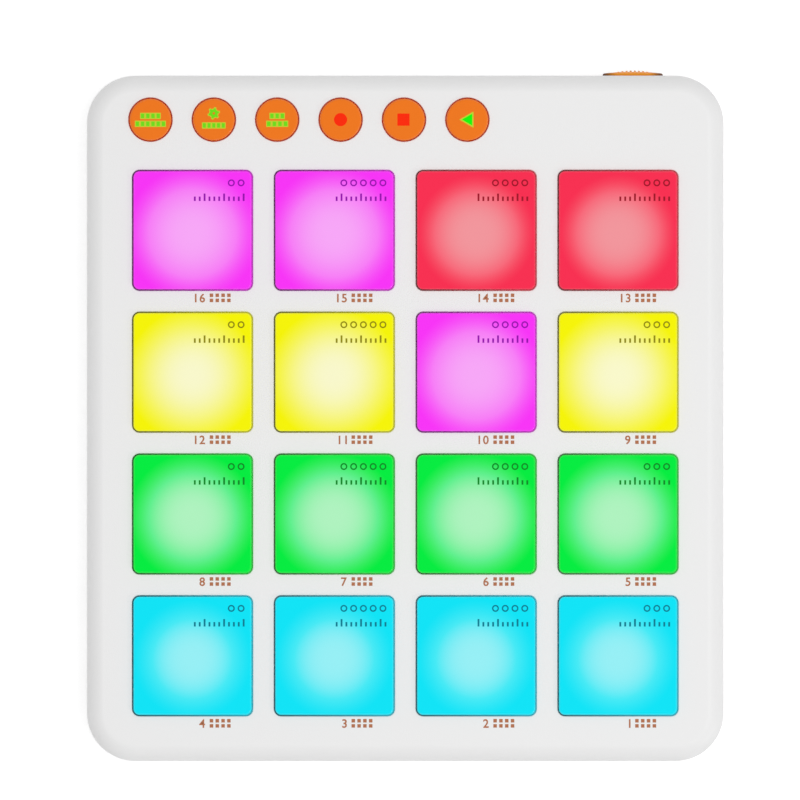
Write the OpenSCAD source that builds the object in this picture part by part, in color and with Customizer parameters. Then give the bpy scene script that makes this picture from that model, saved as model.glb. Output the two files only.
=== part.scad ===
// Pad controller for a desk: sixteen lit pads, six round buttons and a rear dial in a two-shell case.
// The origin is on the surface that the feet stand on, under the middle of the case.
// +X is to the player's right, +Y is the rear and +Z is up. Sizes are in millimetres.

/* [Case] */
// Distance from the pads to the sides of the case
side_margin = 10.05; // [9.85:0.05:14]
// Distance from the pads to the front of the case
front_margin = 10; // [9.8:0.1:14]
// Depth of the strip behind the pads, with the buttons and the dial
control_strip = 20.6; // [20:0.1:30]
// Height of the case without its feet
case_h = 22; // [21.5:0.5:26]
// Corner radius of the case, seen from above
corner_r = 10.4; // [9.8:0.1:12]
// Radius of the rolled edge round the top
top_edge_r = 3.6; // [3:0.1:5.4]
// Radius of the rolled edge round the underside
bottom_edge_r = 3; // [2.4:0.1:3.2]
// Thickness of the side walls
wall = 2; // [1.8:0.1:2.3]
// Thickness of the top panel
panel_t = 2.2; // [1.8:0.1:2.6]
// Thickness of the floor
floor_t = 2; // [1.6:0.1:2.4]
// Thickness of the ribs between the pads
rib_t = 1.2; // [0.8:0.1:1.6]

/* [Pads] */
// Side of one square pad
pad_size = 25.4; // [23:0.1:28]
// Distance between two pads
pad_gutter = 5.1; // [4.9:0.1:6]
// Corner radius of a pad, seen from above
pad_corner_r = 1.3; // [0.8:0.1:2.5]
// Radius of the rolled edge round a pad's top
pad_edge_r = 0.5; // [0.3:0.1:0.7]
// Gap round a pad in its window
pad_gap = 0.3; // [0.25:0.05:0.45]
// Height of a pad above the panel
pad_proud = 0.8; // [0.5:0.1:1.5]
// How far a pad goes down
pad_travel = 0.8; // [0.4:0.1:1.2]
// Thickness of a pad's skirt
pad_wall = 2.4; // [1.8:0.1:3]
// Thickness of a pad's top
pad_roof = 2.4; // [1.6:0.1:3]

/* [Buttons] */
// Diameter of one button cap
button_d = 9; // [8:0.1:9.4]
// Distance from one button's centre to the next
button_pitch = 13.63; // [13.5:0.01:14.4]
// Distance from the rear of the case to the row of buttons
button_inset = 9.5; // [9:0.1:10]
// Distance from the left side of the case to the first button
first_button_inset = 13.7; // [13.2:0.1:16]
// Gap round a cap in its hole
button_gap = 0.25; // [0.2:0.05:0.35]
// Height of a cap above the panel
button_proud = 0.6; // [0.3:0.1:1.2]
// How far a button goes down
button_travel = 0.5; // [0.2:0.05:0.6]

/* [Dial] */
// Diameter of the dial
dial_d = 13; // [11:0.5:13]
// Distance from the right side of the case to the dial's axis
dial_inset = 19.5; // [19:0.5:24]
// How far the middle of the dial's face stands behind the case
dial_proud = 0.92; // [0.8:0.02:1.4]
// How far the face falls from its middle to its rim
dial_dome = 0.4; // [0.3:0.02:0.5]
// Number of grip ribs across the face
dial_ribs = 8; // [4:2:10]
// Distance from one grip rib to the next
dial_rib_pitch = 0.89; // [0.8:0.01:0.95]
// Width of one grip rib
dial_rib_w = 0.38; // [0.3:0.02:0.5]
// Height of the grip ribs over the middle of the face
dial_rib_h = 0.26; // [0.2:0.02:0.36]
// Radius of the dome over the ribs' tops, which is tighter than the face's own
dial_rib_dome_r = 22; // [18:1:24]
// Gap round the dial in its hole
dial_gap = 0.5; // [0.3:0.1:0.6]
// Diameter of the encoder's shaft
shaft_d = 4; // [3:0.5:4.5]

/* [Feet and screws] */
// Diameter of a rubber foot
foot_d = 10; // [7:0.5:11]
// Height of a foot below the case
foot_h = 1.5; // [1:0.1:3]
// Distance from the sides of the case to the middle of a foot
foot_inset = 17; // [15:0.5:20]
// Thread diameter of the screws
screw_d = 2; // [1.6:0.1:2.2]
// Length of a case screw under its head
case_screw_len = 9; // [7:0.5:10]
// Length of a board screw under its head
board_screw_len = 6; // [4:0.5:7]

/* [Electronics] */
// How far the underside of the board is below the seam of the case
board_drop = 1.9; // [1.6:0.1:2.2]
// Thickness of the circuit board
board_t = 1.6; // [1.2:0.2:2]
// Thickness of the force-sensing film
film_t = 0.4; // [0.2:0.1:0.6]
// Thickness of the silicone web between the pads
web_t = 1; // [0.6:0.1:1.6]
// Side of a lamp under a pad
lamp_size = 5; // [3:0.5:6]
// Height of a lamp under a pad
lamp_h = 1.6; // [1:0.1:2]
// Side of a switch body
switch_size = 6; // [4.5:0.5:6.5]
// Height of a switch body
switch_h = 3.5; // [3:0.1:3.8]
// Diameter of a switch's plunger
plunger_d = 3.4; // [2.6:0.1:3.6]
// Width of the USB socket's shell
usb_w = 8.94; // [8.8:0.02:9.2]
// Height of the USB socket's shell
usb_h = 3.16; // [3:0.02:3.3]
// How far the power slider moves
power_travel = 2; // [1.5:0.1:2.5]
// Width of the battery
battery_w = 60; // [40:1:64]
// Depth of the battery
battery_d = 50; // [40:1:56]
// Distance from the left side of the case to the middle of the USB socket
usb_inset = 48.5; // [44:0.5:56]
// Distance from the left side of the case to the middle of the power switch
power_inset = 26.5; // [22:0.5:34]

/* [Hidden] */
button_names = ["repeat", "shift", "bank", "record", "stop", "play"];
$fn = 64;

columns = 4;
rows = 4;

// Small overlap that lets a cut run past a face
past = 1;
// Least gap between a moving piece and a flat face
stop_gap = 0.15;
// Radial clearance of a shaft or plunger in its bore
running_gap = 0.08;
// Clearance round a fixed piece that stands in a hole or notch
assembly_gap = 0.4;

// The grid of pads sets the width and depth of the case
pad_pitch = pad_size + pad_gutter;
grid_w = columns * pad_pitch - pad_gutter;
grid_d = rows * pad_pitch - pad_gutter;
case_w = grid_w + 2 * side_margin;
case_d = front_margin + grid_d + control_strip;
rear_y = case_d / 2;
inner_rear_y = rear_y - wall;
grid_y = front_margin + grid_d / 2 - rear_y;
// The lattice of ribs runs half a gutter outside the pads, and the case screws stand at its corners
lattice_w = columns * pad_pitch;
lattice_d = rows * pad_pitch;

// Heights, from the surface that the feet stand on
case_z = foot_h;
top_z = case_z + case_h;
panel_z = top_z - panel_t;
floor_z = case_z + floor_t;
// The shells meet at the dial's axis, which is halfway up the straight part of the rear wall
seam_z = (case_z + bottom_edge_r + top_z - top_edge_r) / 2;
board_z = seam_z - board_drop;
board_top = board_z + board_t;
film_top = board_top + film_t;
web_top = film_top + web_t;

// The seam: a tongue on the upper shell stands in a rebate of the lower one, below a shadow line
tongue_h = 1.2;
tongue_t = 0.9;
tongue_gap = 0.1;
shadow_line = 0.4;

flange_out = 0.9;
flange_t = 1.3;
flange_corner_r = pad_corner_r + flange_out;
flange_size = pad_size + 2 * flange_out;
window_size = pad_size + 2 * pad_gap;
window_corner_r = pad_corner_r + pad_gap;

button_y = rear_y - button_inset;
button_hole_r = button_d / 2 + button_gap;
sleeve_t = 1;
sleeve_h = 2.5;
cap_wall = 1;
cap_roof = 1.2;
cap_edge_r = 0.5;
cap_flange_out = 1;
plunger_h = 2;
plunger_sunk = 0.6;
plunger_z = board_top + switch_h + plunger_h;

dial_x = case_w / 2 - dial_inset;
dial_r = dial_d / 2;
dial_hole_r = dial_r + dial_gap;
dial_sunk = 3.6;
dial_back_y = rear_y - dial_sunk;
dial_edge_r = 0.45;
dial_len = dial_sunk + dial_proud;
hub_wall = 1.2;
dome_r = (dial_r * dial_r + dial_dome * dial_dome) / (2 * dial_dome);
collar_t = 1.4;
collar_len = 1.5;
hub_depth = 3;
encoder_gap = 1.2;
bush_wall = 1;
encoder_face_y = dial_back_y - encoder_gap;
encoder_size = 11;
encoder_len = 5;
shaft_in_encoder = 3;
encoder_board_w = 15;
encoder_board_spare = 0.9;
encoder_board_h = 2 * (seam_z - floor_z - encoder_board_spare);
encoder_board_t = 1.2;
encoder_board_y = encoder_face_y - encoder_len - encoder_board_t;

post_r = 3.2;
boss_r = 2.75;
crossing_boss_r = 2.5;
screw_gap = 0.2;
screw_hole_r = screw_d / 2 + screw_gap;
head_overhang = 0.9;
head_r = screw_d / 2 + head_overhang;
head_h = 1.4;
counterbore_gap = 0.35;
counterbore_r = head_r + counterbore_gap;
screw_seat = 5;
pilot_spare = 0.6;
foot_sunk = 0.6;

board_gap = 0.75;
board_w = case_w - 2 * (wall + board_gap);
board_d = case_d - 2 * (wall + board_gap);
board_corner_r = corner_r - wall - board_gap;
// The ports hang under the board, with their middles on one line
port_z = board_z - usb_h / 2;
usb_x = usb_inset - case_w / 2;
usb_len = 7.3;
usb_recess = 0.75;
usb_gap = 0.25;
power_x = power_inset - case_w / 2;
power_cap_w = 4.6;
power_cap_h = 2.4;
power_slot_gap = 0.3;
power_stem = [1.8, 1.4];
power_stem_sunk = 1.5;
power_body = [8.6, 4, 3.3];
fence_t = 1;
fence_h = 3;
fence_gap = 0.5;
battery_spare = 0.4;
battery_t = board_z - head_h - battery_spare - floor_z;

shell_white = [0.92, 0.92, 0.93];
button_orange = [0.92, 0.45, 0.13];
magenta = [0.97, 0.35, 0.97];
red = [0.96, 0.25, 0.36];
yellow = [0.97, 0.96, 0.35];
green = [0.2, 0.93, 0.42];
cyan = [0.15, 0.9, 0.97];
row_of_glow = [
    [cyan, cyan, cyan, cyan],
    [green, green, green, green],
    [yellow, magenta, yellow, yellow],
    [red, red, magenta, magenta]
];

// Pads are numbered from the front right corner, to the left and then to the rear
function pad_row(n) = floor((n - 1) / columns);
function pad_column(n) = (n - 1) % columns;
function pad_place(n) = [
    ((columns - 1) / 2 - pad_column(n)) * pad_pitch,
    grid_y + (pad_row(n) - (rows - 1) / 2) * pad_pitch,
    0
];
function button_place(i) = [first_button_inset - case_w / 2 + i * button_pitch, button_y, 0];
function crossing_place(i, j) = [i * pad_pitch, grid_y + j * pad_pitch, 0];

// A rectangle with round corners, about the origin
module rounded_rectangle(w, d, r) {
    square([w, d - 2 * r], center = true);
    square([w - 2 * r, d], center = true);
    for (x = [-1, 1], y = [-1, 1]) {
        translate([x * (w / 2 - r), y * (d / 2 - r)]) circle(r);
    }
}

module rounded_prism(w, d, r, low, high) {
    translate([0, 0, low]) linear_extrude(high - low) rounded_rectangle(w, d, r);
}

// A slot with round ends, w wide and h high
module round_slot(w, h) {
    square([w - h, h], center = true);
    for (x = [-1, 1]) translate([x * (w - h) / 2, 0]) circle(h / 2);
}

// A section from x = from to x = out, with its upper outer corner rolled over
module rolled_section(from, out, low, high, r) {
    translate([from, low]) square([out - r - from, high - low]);
    translate([from, low]) square([out - from, high - r - low]);
    translate([out - r, high - r]) circle(r);
}

// The same with its lower outer corner rolled
module rolled_under_section(from, out, low, high, r) {
    translate([0, low + high]) mirror([0, 1]) rolled_section(from, out, low, high, r);
}

// Carries a wall's section round a rectangle with round corners. The section's x is measured outwards
// from the line through the corners' centres, and its y is the height.
module rim(w, d, r) {
    for (side = [-1, 1]) {
        scale([side, 1, 1]) translate([w / 2 - r, 0, 0]) {
            rotate([90, 0, 0]) linear_extrude(d - 2 * r, center = true) children();
        }
        scale([1, side, 1]) translate([0, d / 2 - r, 0]) {
            rotate([90, 0, 90]) linear_extrude(w - 2 * r, center = true) children();
        }
    }
    for (quarter = [0:3]) {
        x = (quarter == 0 || quarter == 3) ? 1 : -1;
        y = quarter < 2 ? 1 : -1;
        translate([x * (w / 2 - r), y * (d / 2 - r), 0]) {
            rotate([0, 0, 90 * quarter]) rotate_extrude(angle = 90) children();
        }
    }
}

// The flat middle that a rim goes round
module middle(w, d, r, low, high) {
    translate([r - w / 2, r - d / 2, low]) cube([w - 2 * r, d - 2 * r, high - low]);
}

// A block with round corners and a rolled upper edge
module rolled_block(w, d, r, edge_r, low, high) {
    rim(w, d, r) rolled_section(0, r, low, high, edge_r);
    middle(w, d, r, low, high);
}

module at_feet() {
    for (x = [-1, 1], y = [-1, 1]) {
        translate([x * (case_w / 2 - foot_inset), y * (case_d / 2 - foot_inset), 0]) children();
    }
}

module at_case_screws() {
    for (x = [-1, 1], y = [-1, 1]) {
        translate([x * lattice_w / 2, grid_y + y * lattice_d / 2, 0]) children();
    }
}

module crossings() {
    for (i = [-1:1], j = [-1:1]) translate(crossing_place(i, j)) children();
}

module at_pads() {
    for (n = [1:columns * rows]) translate(pad_place(n)) children();
}

module at_buttons() {
    for (i = [0:len(button_names) - 1]) translate(button_place(i)) children();
}

// Turns a shape made along +Z so that it points out of the rear wall, from the plane at y
module out_of_rear(x, y, z) {
    translate([x, y, z]) rotate([-90, 0, 0]) children();
}

module dial_hole() {
    out_of_rear(dial_x, inner_rear_y - collar_len - past, seam_z) {
        cylinder(r = dial_hole_r, h = collar_len + wall + 2 * past);
    }
}

// Half of the collar that stiffens the edge of the dial's hole, above or below the seam
module dial_collar(side) {
    reach = dial_hole_r + collar_t;
    intersection() {
        out_of_rear(dial_x, inner_rear_y - collar_len, seam_z) cylinder(r = reach, h = collar_len);
        translate([dial_x - reach, inner_rear_y - collar_len, seam_z + (side > 0 ? 0 : -reach)]) {
            cube([2 * reach, collar_len, reach]);
        }
    }
}

module top_case_section() {
    difference() {
        rolled_section(0, corner_r, seam_z, top_z, top_edge_r);
        rolled_section(-past, corner_r - wall, seam_z - past, panel_z, top_edge_r - wall);
        translate([corner_r - shadow_line, seam_z - past]) square([shadow_line + past, shadow_line + past]);
    }
    translate([corner_r - wall, seam_z - tongue_h]) square([tongue_t, 2 * tongue_h]);
}

// Ribs under the panel that keep each pad's light to itself and hold the web down
module light_ribs() {
    w = lattice_w + rib_t;
    d = lattice_d + rib_t;
    rib_h = panel_z - web_top;
    for (i = [0:columns]) {
        translate([i * pad_pitch - w / 2, grid_y - d / 2, web_top]) cube([rib_t, d, rib_h]);
    }
    for (j = [0:rows]) {
        translate([-w / 2, grid_y + j * pad_pitch - d / 2, web_top]) cube([w, rib_t, rib_h]);
    }
}

module top_case() {
    color(shell_white) difference() {
        union() {
            rim(case_w, case_d, corner_r) top_case_section();
            middle(case_w, case_d, corner_r, panel_z, top_z);
            light_ribs();
            crossings() translate([0, 0, board_top]) cylinder(r = crossing_boss_r, h = panel_z - board_top);
            at_case_screws() translate([0, 0, seam_z]) cylinder(r = boss_r, h = panel_z - seam_z);
            at_buttons() translate([0, 0, panel_z - sleeve_h]) {
                cylinder(r = button_hole_r + sleeve_t, h = sleeve_h);
            }
            dial_collar(1);
        }
        at_pads() rounded_prism(window_size, window_size, window_corner_r, panel_z - past, top_z + past);
        at_buttons() translate([0, 0, panel_z - sleeve_h - past]) {
            cylinder(r = button_hole_r, h = sleeve_h + panel_t + 2 * past);
        }
        crossings() translate([0, 0, board_top - past]) {
            cylinder(r = screw_d / 2, h = board_screw_len - board_t + pilot_spare + past);
        }
        at_case_screws() translate([0, 0, seam_z - past]) {
            cylinder(r = screw_d / 2, h = case_screw_len - screw_seat + pilot_spare + past);
        }
        dial_hole();
    }
}

module bottom_case_section() {
    difference() {
        rolled_under_section(0, corner_r, case_z, seam_z, bottom_edge_r);
        rolled_under_section(-past, corner_r - wall, floor_z, seam_z + past, bottom_edge_r - wall / 2);
        translate([corner_r - wall - past, seam_z - tongue_h - tongue_gap]) {
            square([past + tongue_t + tongue_gap, tongue_h + tongue_gap + past]);
        }
    }
}

// Low walls on the floor round the battery
module battery_fence() {
    w = battery_w + 2 * fence_gap;
    d = battery_d + 2 * fence_gap;
    translate([0, grid_y, floor_z]) difference() {
        translate([-w / 2 - fence_t, -d / 2 - fence_t, 0]) cube([w + 2 * fence_t, d + 2 * fence_t, fence_h]);
        translate([-w / 2, -d / 2, -past]) cube([w, d, fence_h + 2 * past]);
        translate([-w, -d / 4, 0]) cube([2 * w, d / 2, fence_h + past]);
    }
}

// Pillars under the board, beside every other button and under the front edge of the pads
module board_rests() {
    rest_r = 2;
    front_rest_y = front_margin - rear_y;
    rear_rest_y = button_y - switch_size / 2;
    for (i = [0:2:len(button_names) - 1]) {
        translate([button_place(i)[0], rear_rest_y, floor_z]) cylinder(r = rest_r, h = board_z - floor_z);
    }
    for (n = [1:columns]) {
        translate([pad_place(n)[0], front_rest_y, floor_z]) cylinder(r = rest_r, h = board_z - floor_z);
    }
}

module bottom_case() {
    color(shell_white) difference() {
        union() {
            rim(case_w, case_d, corner_r) bottom_case_section();
            middle(case_w, case_d, corner_r, case_z, floor_z);
            at_case_screws() translate([0, 0, floor_z]) cylinder(r = post_r, h = seam_z - floor_z);
            battery_fence();
            board_rests();
            dial_collar(-1);
        }
        at_case_screws() translate([0, 0, case_z - past]) {
            cylinder(r = counterbore_r, h = seam_z - screw_seat - case_z + past);
            cylinder(r = screw_hole_r, h = seam_z - case_z + 2 * past);
        }
        at_feet() translate([0, 0, case_z - past]) {
            cylinder(r = foot_d / 2 + tongue_gap, h = foot_sunk + past);
        }
        dial_hole();
        out_of_rear(usb_x, inner_rear_y - past, port_z) {
            linear_extrude(wall + 2 * past) round_slot(usb_w + 2 * usb_gap, usb_h + 2 * usb_gap);
        }
        translate([power_x, inner_rear_y + wall / 2, port_z]) {
            slot_w = power_cap_w + power_travel + 2 * power_slot_gap;
            cube([slot_w, wall + 2 * past, power_cap_h + 2 * power_slot_gap], center = true);
        }
    }
}

// A silicone pad: a lit roof on a skirt, with a flange that stops it under the panel
module pad(n) {
    glow = row_of_glow[pad_row(n)][pad_column(n)];
    foot = film_top + pad_travel + stop_gap;
    head = top_z + pad_proud;
    flange_top = panel_z - stop_gap;
    inside = pad_size - 2 * pad_wall;
    color(glow) translate(pad_place(n)) difference() {
        union() {
            rolled_block(pad_size, pad_size, pad_corner_r, pad_edge_r, foot, head);
            rounded_prism(flange_size, flange_size, flange_corner_r, flange_top - flange_t, flange_top);
        }
        rounded_prism(inside, inside, pad_corner_r, foot - past, head - pad_roof);
    }
}

// What the film and the web both have: the lattice's outline, with room for the bosses and the posts
module grid_sheet(low, high, hole, hole_corner_r) {
    difference() {
        translate([0, grid_y, 0]) rounded_prism(lattice_w + rib_t, lattice_d + rib_t, rib_t, low, high);
        at_pads() rounded_prism(hole, hole, hole_corner_r, low - past, high + past);
        crossings() translate([0, 0, low - past]) {
            cylinder(r = crossing_boss_r + assembly_gap, h = high - low + 2 * past);
        }
        at_case_screws() translate([0, 0, low - past]) {
            cylinder(r = post_r + assembly_gap, h = high - low + 2 * past);
        }
    }
}

module pad_web() {
    hole = pad_size + 2 * assembly_gap;
    color([0.85, 0.86, 0.86]) grid_sheet(film_top, web_top, hole, pad_corner_r + assembly_gap);
}

module sensor_film() {
    hole = pad_size - 2 * pad_wall - 2 * assembly_gap;
    color([0.25, 0.25, 0.28]) grid_sheet(board_top, film_top, hole, pad_corner_r);
}

// Room in the board for the posts of the case screws: cut corners in front and round-ended slots behind
module post_notches() {
    reach = post_r + assembly_gap;
    cut_h = board_t + 2 * past;
    slot_w = board_w / 2 - lattice_w / 2 + past;
    front_cut_d = board_d / 2 + grid_y - lattice_d / 2 + reach;
    at_case_screws() translate([0, 0, board_z - past]) cylinder(r = reach, h = cut_h);
    for (side = [-1, 1]) scale([side, 1, 1]) {
        translate([lattice_w / 2, grid_y + lattice_d / 2 - reach, board_z - past]) {
            cube([slot_w, 2 * reach, cut_h]);
        }
        translate([lattice_w / 2 - reach, -board_d / 2 - past, board_z - past]) {
            cube([slot_w + reach, front_cut_d + past, cut_h]);
        }
    }
}

module main_board() {
    dial_notch_x = dial_x - dial_hole_r - collar_t - assembly_gap;
    dial_notch_y = encoder_board_y;
    color([0.05, 0.3, 0.2]) difference() {
        rounded_prism(board_w, board_d, board_corner_r, board_z, board_top);
        post_notches();
        translate([dial_notch_x, dial_notch_y, board_z - past]) {
            cube([board_w / 2 - dial_notch_x + past, board_d / 2 - dial_notch_y + past, board_t + 2 * past]);
        }
        crossings() translate([0, 0, board_z - past]) cylinder(r = screw_hole_r, h = board_t + 2 * past);
    }
}

// A chip on the underside of the board, under the middle of a pad
module chip(w, d, h, under_pad) {
    place = pad_place(under_pad);
    translate([place[0] - w / 2, place[1] - d / 2, board_z - h]) cube([w, d, h]);
}

module board_chips() {
    processor_w = 9;
    processor_h = 0.9;
    driver_w = 8;
    driver_d = 12;
    driver_h = 2;
    charger_w = 4;
    charger_h = 0.8;
    color([0.08, 0.08, 0.09]) {
        chip(processor_w, processor_w, processor_h, 9);
        chip(driver_w, driver_d, driver_h, 12);
        chip(charger_w, charger_w, charger_h, 15);
    }
}

module pad_lamps() {
    lens_r = 0.4 * lamp_size;
    lens_depth = 0.3;
    color([0.9, 0.9, 0.85]) at_pads() difference() {
        translate([-lamp_size / 2, -lamp_size / 2, board_top]) cube([lamp_size, lamp_size, lamp_h]);
        translate([0, 0, board_top + lamp_h - lens_depth]) cylinder(r = lens_r, h = lens_depth + past);
    }
}

module button_lamps() {
    lamp = [1.6, 0.8, 0.7];
    color([0.9, 0.9, 0.85]) at_buttons() {
        translate([-lamp[0] / 2, -switch_size / 2 - 2 * lamp[1], board_top]) cube(lamp);
    }
}

// Square switches with a round bore for the plunger and two legs on either side, soldered to the board
module switch_bodies() {
    bore_depth = plunger_sunk + button_travel + stop_gap;
    leg = [switch_size + 2, 0.7, 0.2];
    color([0.12, 0.12, 0.13]) at_buttons() translate([0, 0, board_top]) {
        difference() {
            translate([-switch_size / 2, -switch_size / 2, 0]) cube([switch_size, switch_size, switch_h]);
            translate([0, 0, switch_h - bore_depth]) {
                cylinder(r = plunger_d / 2 + running_gap, h = bore_depth + past);
            }
        }
        for (y = [-1, 1] * switch_size / 3) translate([-leg[0] / 2, y - leg[1] / 2, 0]) cube(leg);
    }
}

module plunger(i) {
    foot = plunger_z - plunger_h - plunger_sunk;
    color([0.75, 0.7, 0.6]) translate(button_place(i)) {
        translate([0, 0, foot]) cylinder(d = plunger_d, h = plunger_z - foot);
    }
}

// A round cap: rolled edge, hollow inside, with a stem on the switch and a flange under the sleeve
module button_cap(i) {
    r = button_d / 2;
    head = top_z + button_proud;
    flange_z = panel_z - sleeve_h - stop_gap - flange_t;
    color(button_orange) translate(button_place(i)) rotate_extrude() {
        rolled_section(0, r, head - cap_roof, head, cap_edge_r);
        translate([r - cap_wall, flange_z]) square([cap_wall, head - cap_roof - flange_z]);
        translate([r - cap_wall, flange_z]) square([cap_wall + cap_flange_out, flange_t]);
        translate([0, plunger_z]) square([plunger_d / 2, head - cap_roof / 2 - plunger_z]);
    }
}

// The shaft's outline, with the flat that the dial is driven by
module shaft_section() {
    flat_depth = shaft_d / 8;
    difference() {
        circle(d = shaft_d);
        translate([-shaft_d, shaft_d / 2 - flat_depth]) square([2 * shaft_d, shaft_d]);
    }
}

// The dial's outline from its axis to its rim: a domed face over a hollow back with a hub
module dial_section() {
    hub_r = shaft_d / 2 + hub_wall;
    skirt_t = 1.2;
    hollow_depth = 2.4;
    difference() {
        intersection() {
            rolled_section(0, dial_r, 0, dial_len - dial_dome + dial_edge_r / 2, dial_edge_r);
            translate([0, dial_len - dome_r]) circle(dome_r, $fn = 360);
        }
        translate([hub_r, -past]) square([dial_r - skirt_t - hub_r, hollow_depth + past]);
    }
    intersection() {
        translate([0, hollow_depth]) square([dial_r - 2 * dial_edge_r, dial_len]);
        translate([0, dial_len - dome_r]) circle(dome_r, $fn = 360);
    }
}

// Straight grip ribs under a tighter dome, so that they run out into the face
module dial_grip() {
    reach = dial_r - 1;
    rib_foot = dial_len - 2 * dial_dome;
    intersection() {
        translate([0, 0, dial_len + dial_rib_h - dial_rib_dome_r]) sphere(dial_rib_dome_r, $fn = 360);
        for (i = [0:dial_ribs - 1]) {
            x = (i - (dial_ribs - 1) / 2) * dial_rib_pitch;
            half = sqrt(reach * reach - x * x);
            translate([x - dial_rib_w / 2, -half, rib_foot]) {
                cube([dial_rib_w, 2 * half, 2 * dial_dome + 2 * dial_rib_h]);
            }
        }
    }
}

module dial_knob() {
    color(button_orange) out_of_rear(dial_x, dial_back_y, seam_z) difference() {
        union() {
            rotate_extrude() dial_section();
            dial_grip();
        }
        translate([0, 0, -past]) linear_extrude(hub_depth + past) shaft_section();
    }
}

module encoder_shaft() {
    color([0.75, 0.76, 0.78]) out_of_rear(dial_x, encoder_face_y, seam_z) {
        translate([0, 0, encoder_gap]) linear_extrude(hub_depth) shaft_section();
        translate([0, 0, -shaft_in_encoder]) cylinder(d = shaft_d, h = shaft_in_encoder + encoder_gap);
    }
}

module encoder_body() {
    bush_r = shaft_d / 2 + bush_wall;
    bush_len = encoder_gap - 2 * stop_gap;
    bore_depth = shaft_in_encoder + stop_gap;
    color([0.6, 0.62, 0.64]) out_of_rear(dial_x, encoder_face_y, seam_z) difference() {
        union() {
            translate([-encoder_size / 2, -encoder_size / 2, -encoder_len]) {
                cube([encoder_size, encoder_size, encoder_len]);
            }
            cylinder(r = bush_r, h = bush_len);
        }
        translate([0, 0, -bore_depth]) {
            cylinder(r = shaft_d / 2 + running_gap, h = bore_depth + bush_len + past);
        }
    }
}

module encoder_board() {
    color([0.05, 0.3, 0.2]) {
        translate([dial_x - encoder_board_w / 2, encoder_board_y, seam_z - encoder_board_h / 2]) {
            cube([encoder_board_w, encoder_board_t, encoder_board_h]);
        }
    }
}

// The socket's rolled steel shell round its contact tongue
module usb_socket() {
    shell_t = 0.3;
    back_t = 1;
    tongue = [6.7, 0.7, 4.6];
    color([0.75, 0.76, 0.78]) out_of_rear(usb_x, rear_y - usb_recess - usb_len, port_z) {
        difference() {
            linear_extrude(usb_len) round_slot(usb_w, usb_h);
            translate([0, 0, back_t]) linear_extrude(usb_len) {
                round_slot(usb_w - 2 * shell_t, usb_h - 2 * shell_t);
            }
        }
        translate([-tongue[0] / 2, -tongue[1] / 2, back_t / 2]) cube(tongue + [0, 0, back_t / 2]);
    }
}

module power_switch() {
    front_y = rear_y - wall - board_gap;
    color([0.6, 0.62, 0.64]) difference() {
        translate([power_x - power_body[0] / 2, front_y - power_body[1], board_z - power_body[2]]) {
            cube(power_body);
        }
        translate([power_x, front_y, port_z]) {
            slot = [power_stem[0] + power_travel, 2 * (power_stem_sunk + stop_gap), power_stem[1]];
            cube(slot + [2 * stop_gap, 0, 2 * stop_gap], center = true);
        }
    }
}

// The slider at the off end of its travel: a grooved cap in the wall's slot on a flat stem
module power_slider() {
    stem_y = rear_y - wall - board_gap - power_stem_sunk;
    cap_y = inner_rear_y + stop_gap;
    cap_front_y = rear_y - 2 * stop_gap;
    groove = 0.3;
    groove_pitch = 3 * groove;
    color([0.2, 0.2, 0.22]) translate([power_x - power_travel / 2, 0, port_z]) difference() {
        union() {
            translate([-power_cap_w / 2, cap_y, -power_cap_h / 2]) {
                cube([power_cap_w, cap_front_y - cap_y, power_cap_h]);
            }
            translate([-power_stem[0] / 2, stem_y, -power_stem[1] / 2]) {
                cube([power_stem[0], cap_y - stem_y + past / 2, power_stem[1]]);
            }
        }
        for (i = [-1:1]) {
            translate([i * groove_pitch - groove / 2, cap_front_y - groove, -power_cap_h]) {
                cube([groove, 2 * groove, 2 * power_cap_h]);
            }
        }
    }
}

// A flat pouch cell. The thin terrace in front of the pouch carries its protection board
module battery() {
    seal_r = 1.5;
    terrace_d = 4;
    terrace_t = 1.5;
    terrace_w = battery_w - 2 * seal_r;
    color([0.7, 0.72, 0.75]) translate([0, grid_y, 0]) {
        translate([0, terrace_d / 2, 0]) {
            rounded_prism(battery_w, battery_d - terrace_d, seal_r, floor_z, floor_z + battery_t);
        }
        translate([-terrace_w / 2, -battery_d / 2, floor_z]) cube([terrace_w, 2 * terrace_d, terrace_t]);
    }
}

module rubber_feet() {
    edge_r = 0.4;
    color([0.15, 0.15, 0.16]) at_feet() rotate_extrude() {
        rolled_under_section(0, foot_d / 2, 0, case_z + foot_sunk, edge_r);
    }
}

// A pan-head screw with a round socket, seated at z = 0 and pointing up
module screw(length) {
    socket_r = screw_d / 4;
    difference() {
        union() {
            translate([0, 0, -head_h]) cylinder(r = head_r, h = head_h);
            cylinder(d = screw_d, h = length);
        }
        translate([0, 0, -head_h - past]) cylinder(r = socket_r, h = head_h / 2 + past);
    }
}

module case_screws() {
    color([0.5, 0.5, 0.52]) at_case_screws() translate([0, 0, seam_z - screw_seat]) screw(case_screw_len);
}

module board_screws() {
    color([0.5, 0.5, 0.52]) crossings() translate([0, 0, board_z]) screw(board_screw_len);
}

top_case();
bottom_case();
for (n = [1:columns * rows]) {
    pad(n);
}
pad_web();
sensor_film();
main_board();
board_chips();
pad_lamps();
button_lamps();
switch_bodies();
for (i = [0:len(button_names) - 1]) {
    button_cap(i);
    plunger(i);
}
dial_knob();
encoder_shaft();
encoder_body();
encoder_board();
usb_socket();
power_switch();
power_slider();
battery();
rubber_feet();
case_screws();
board_screws();
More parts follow.
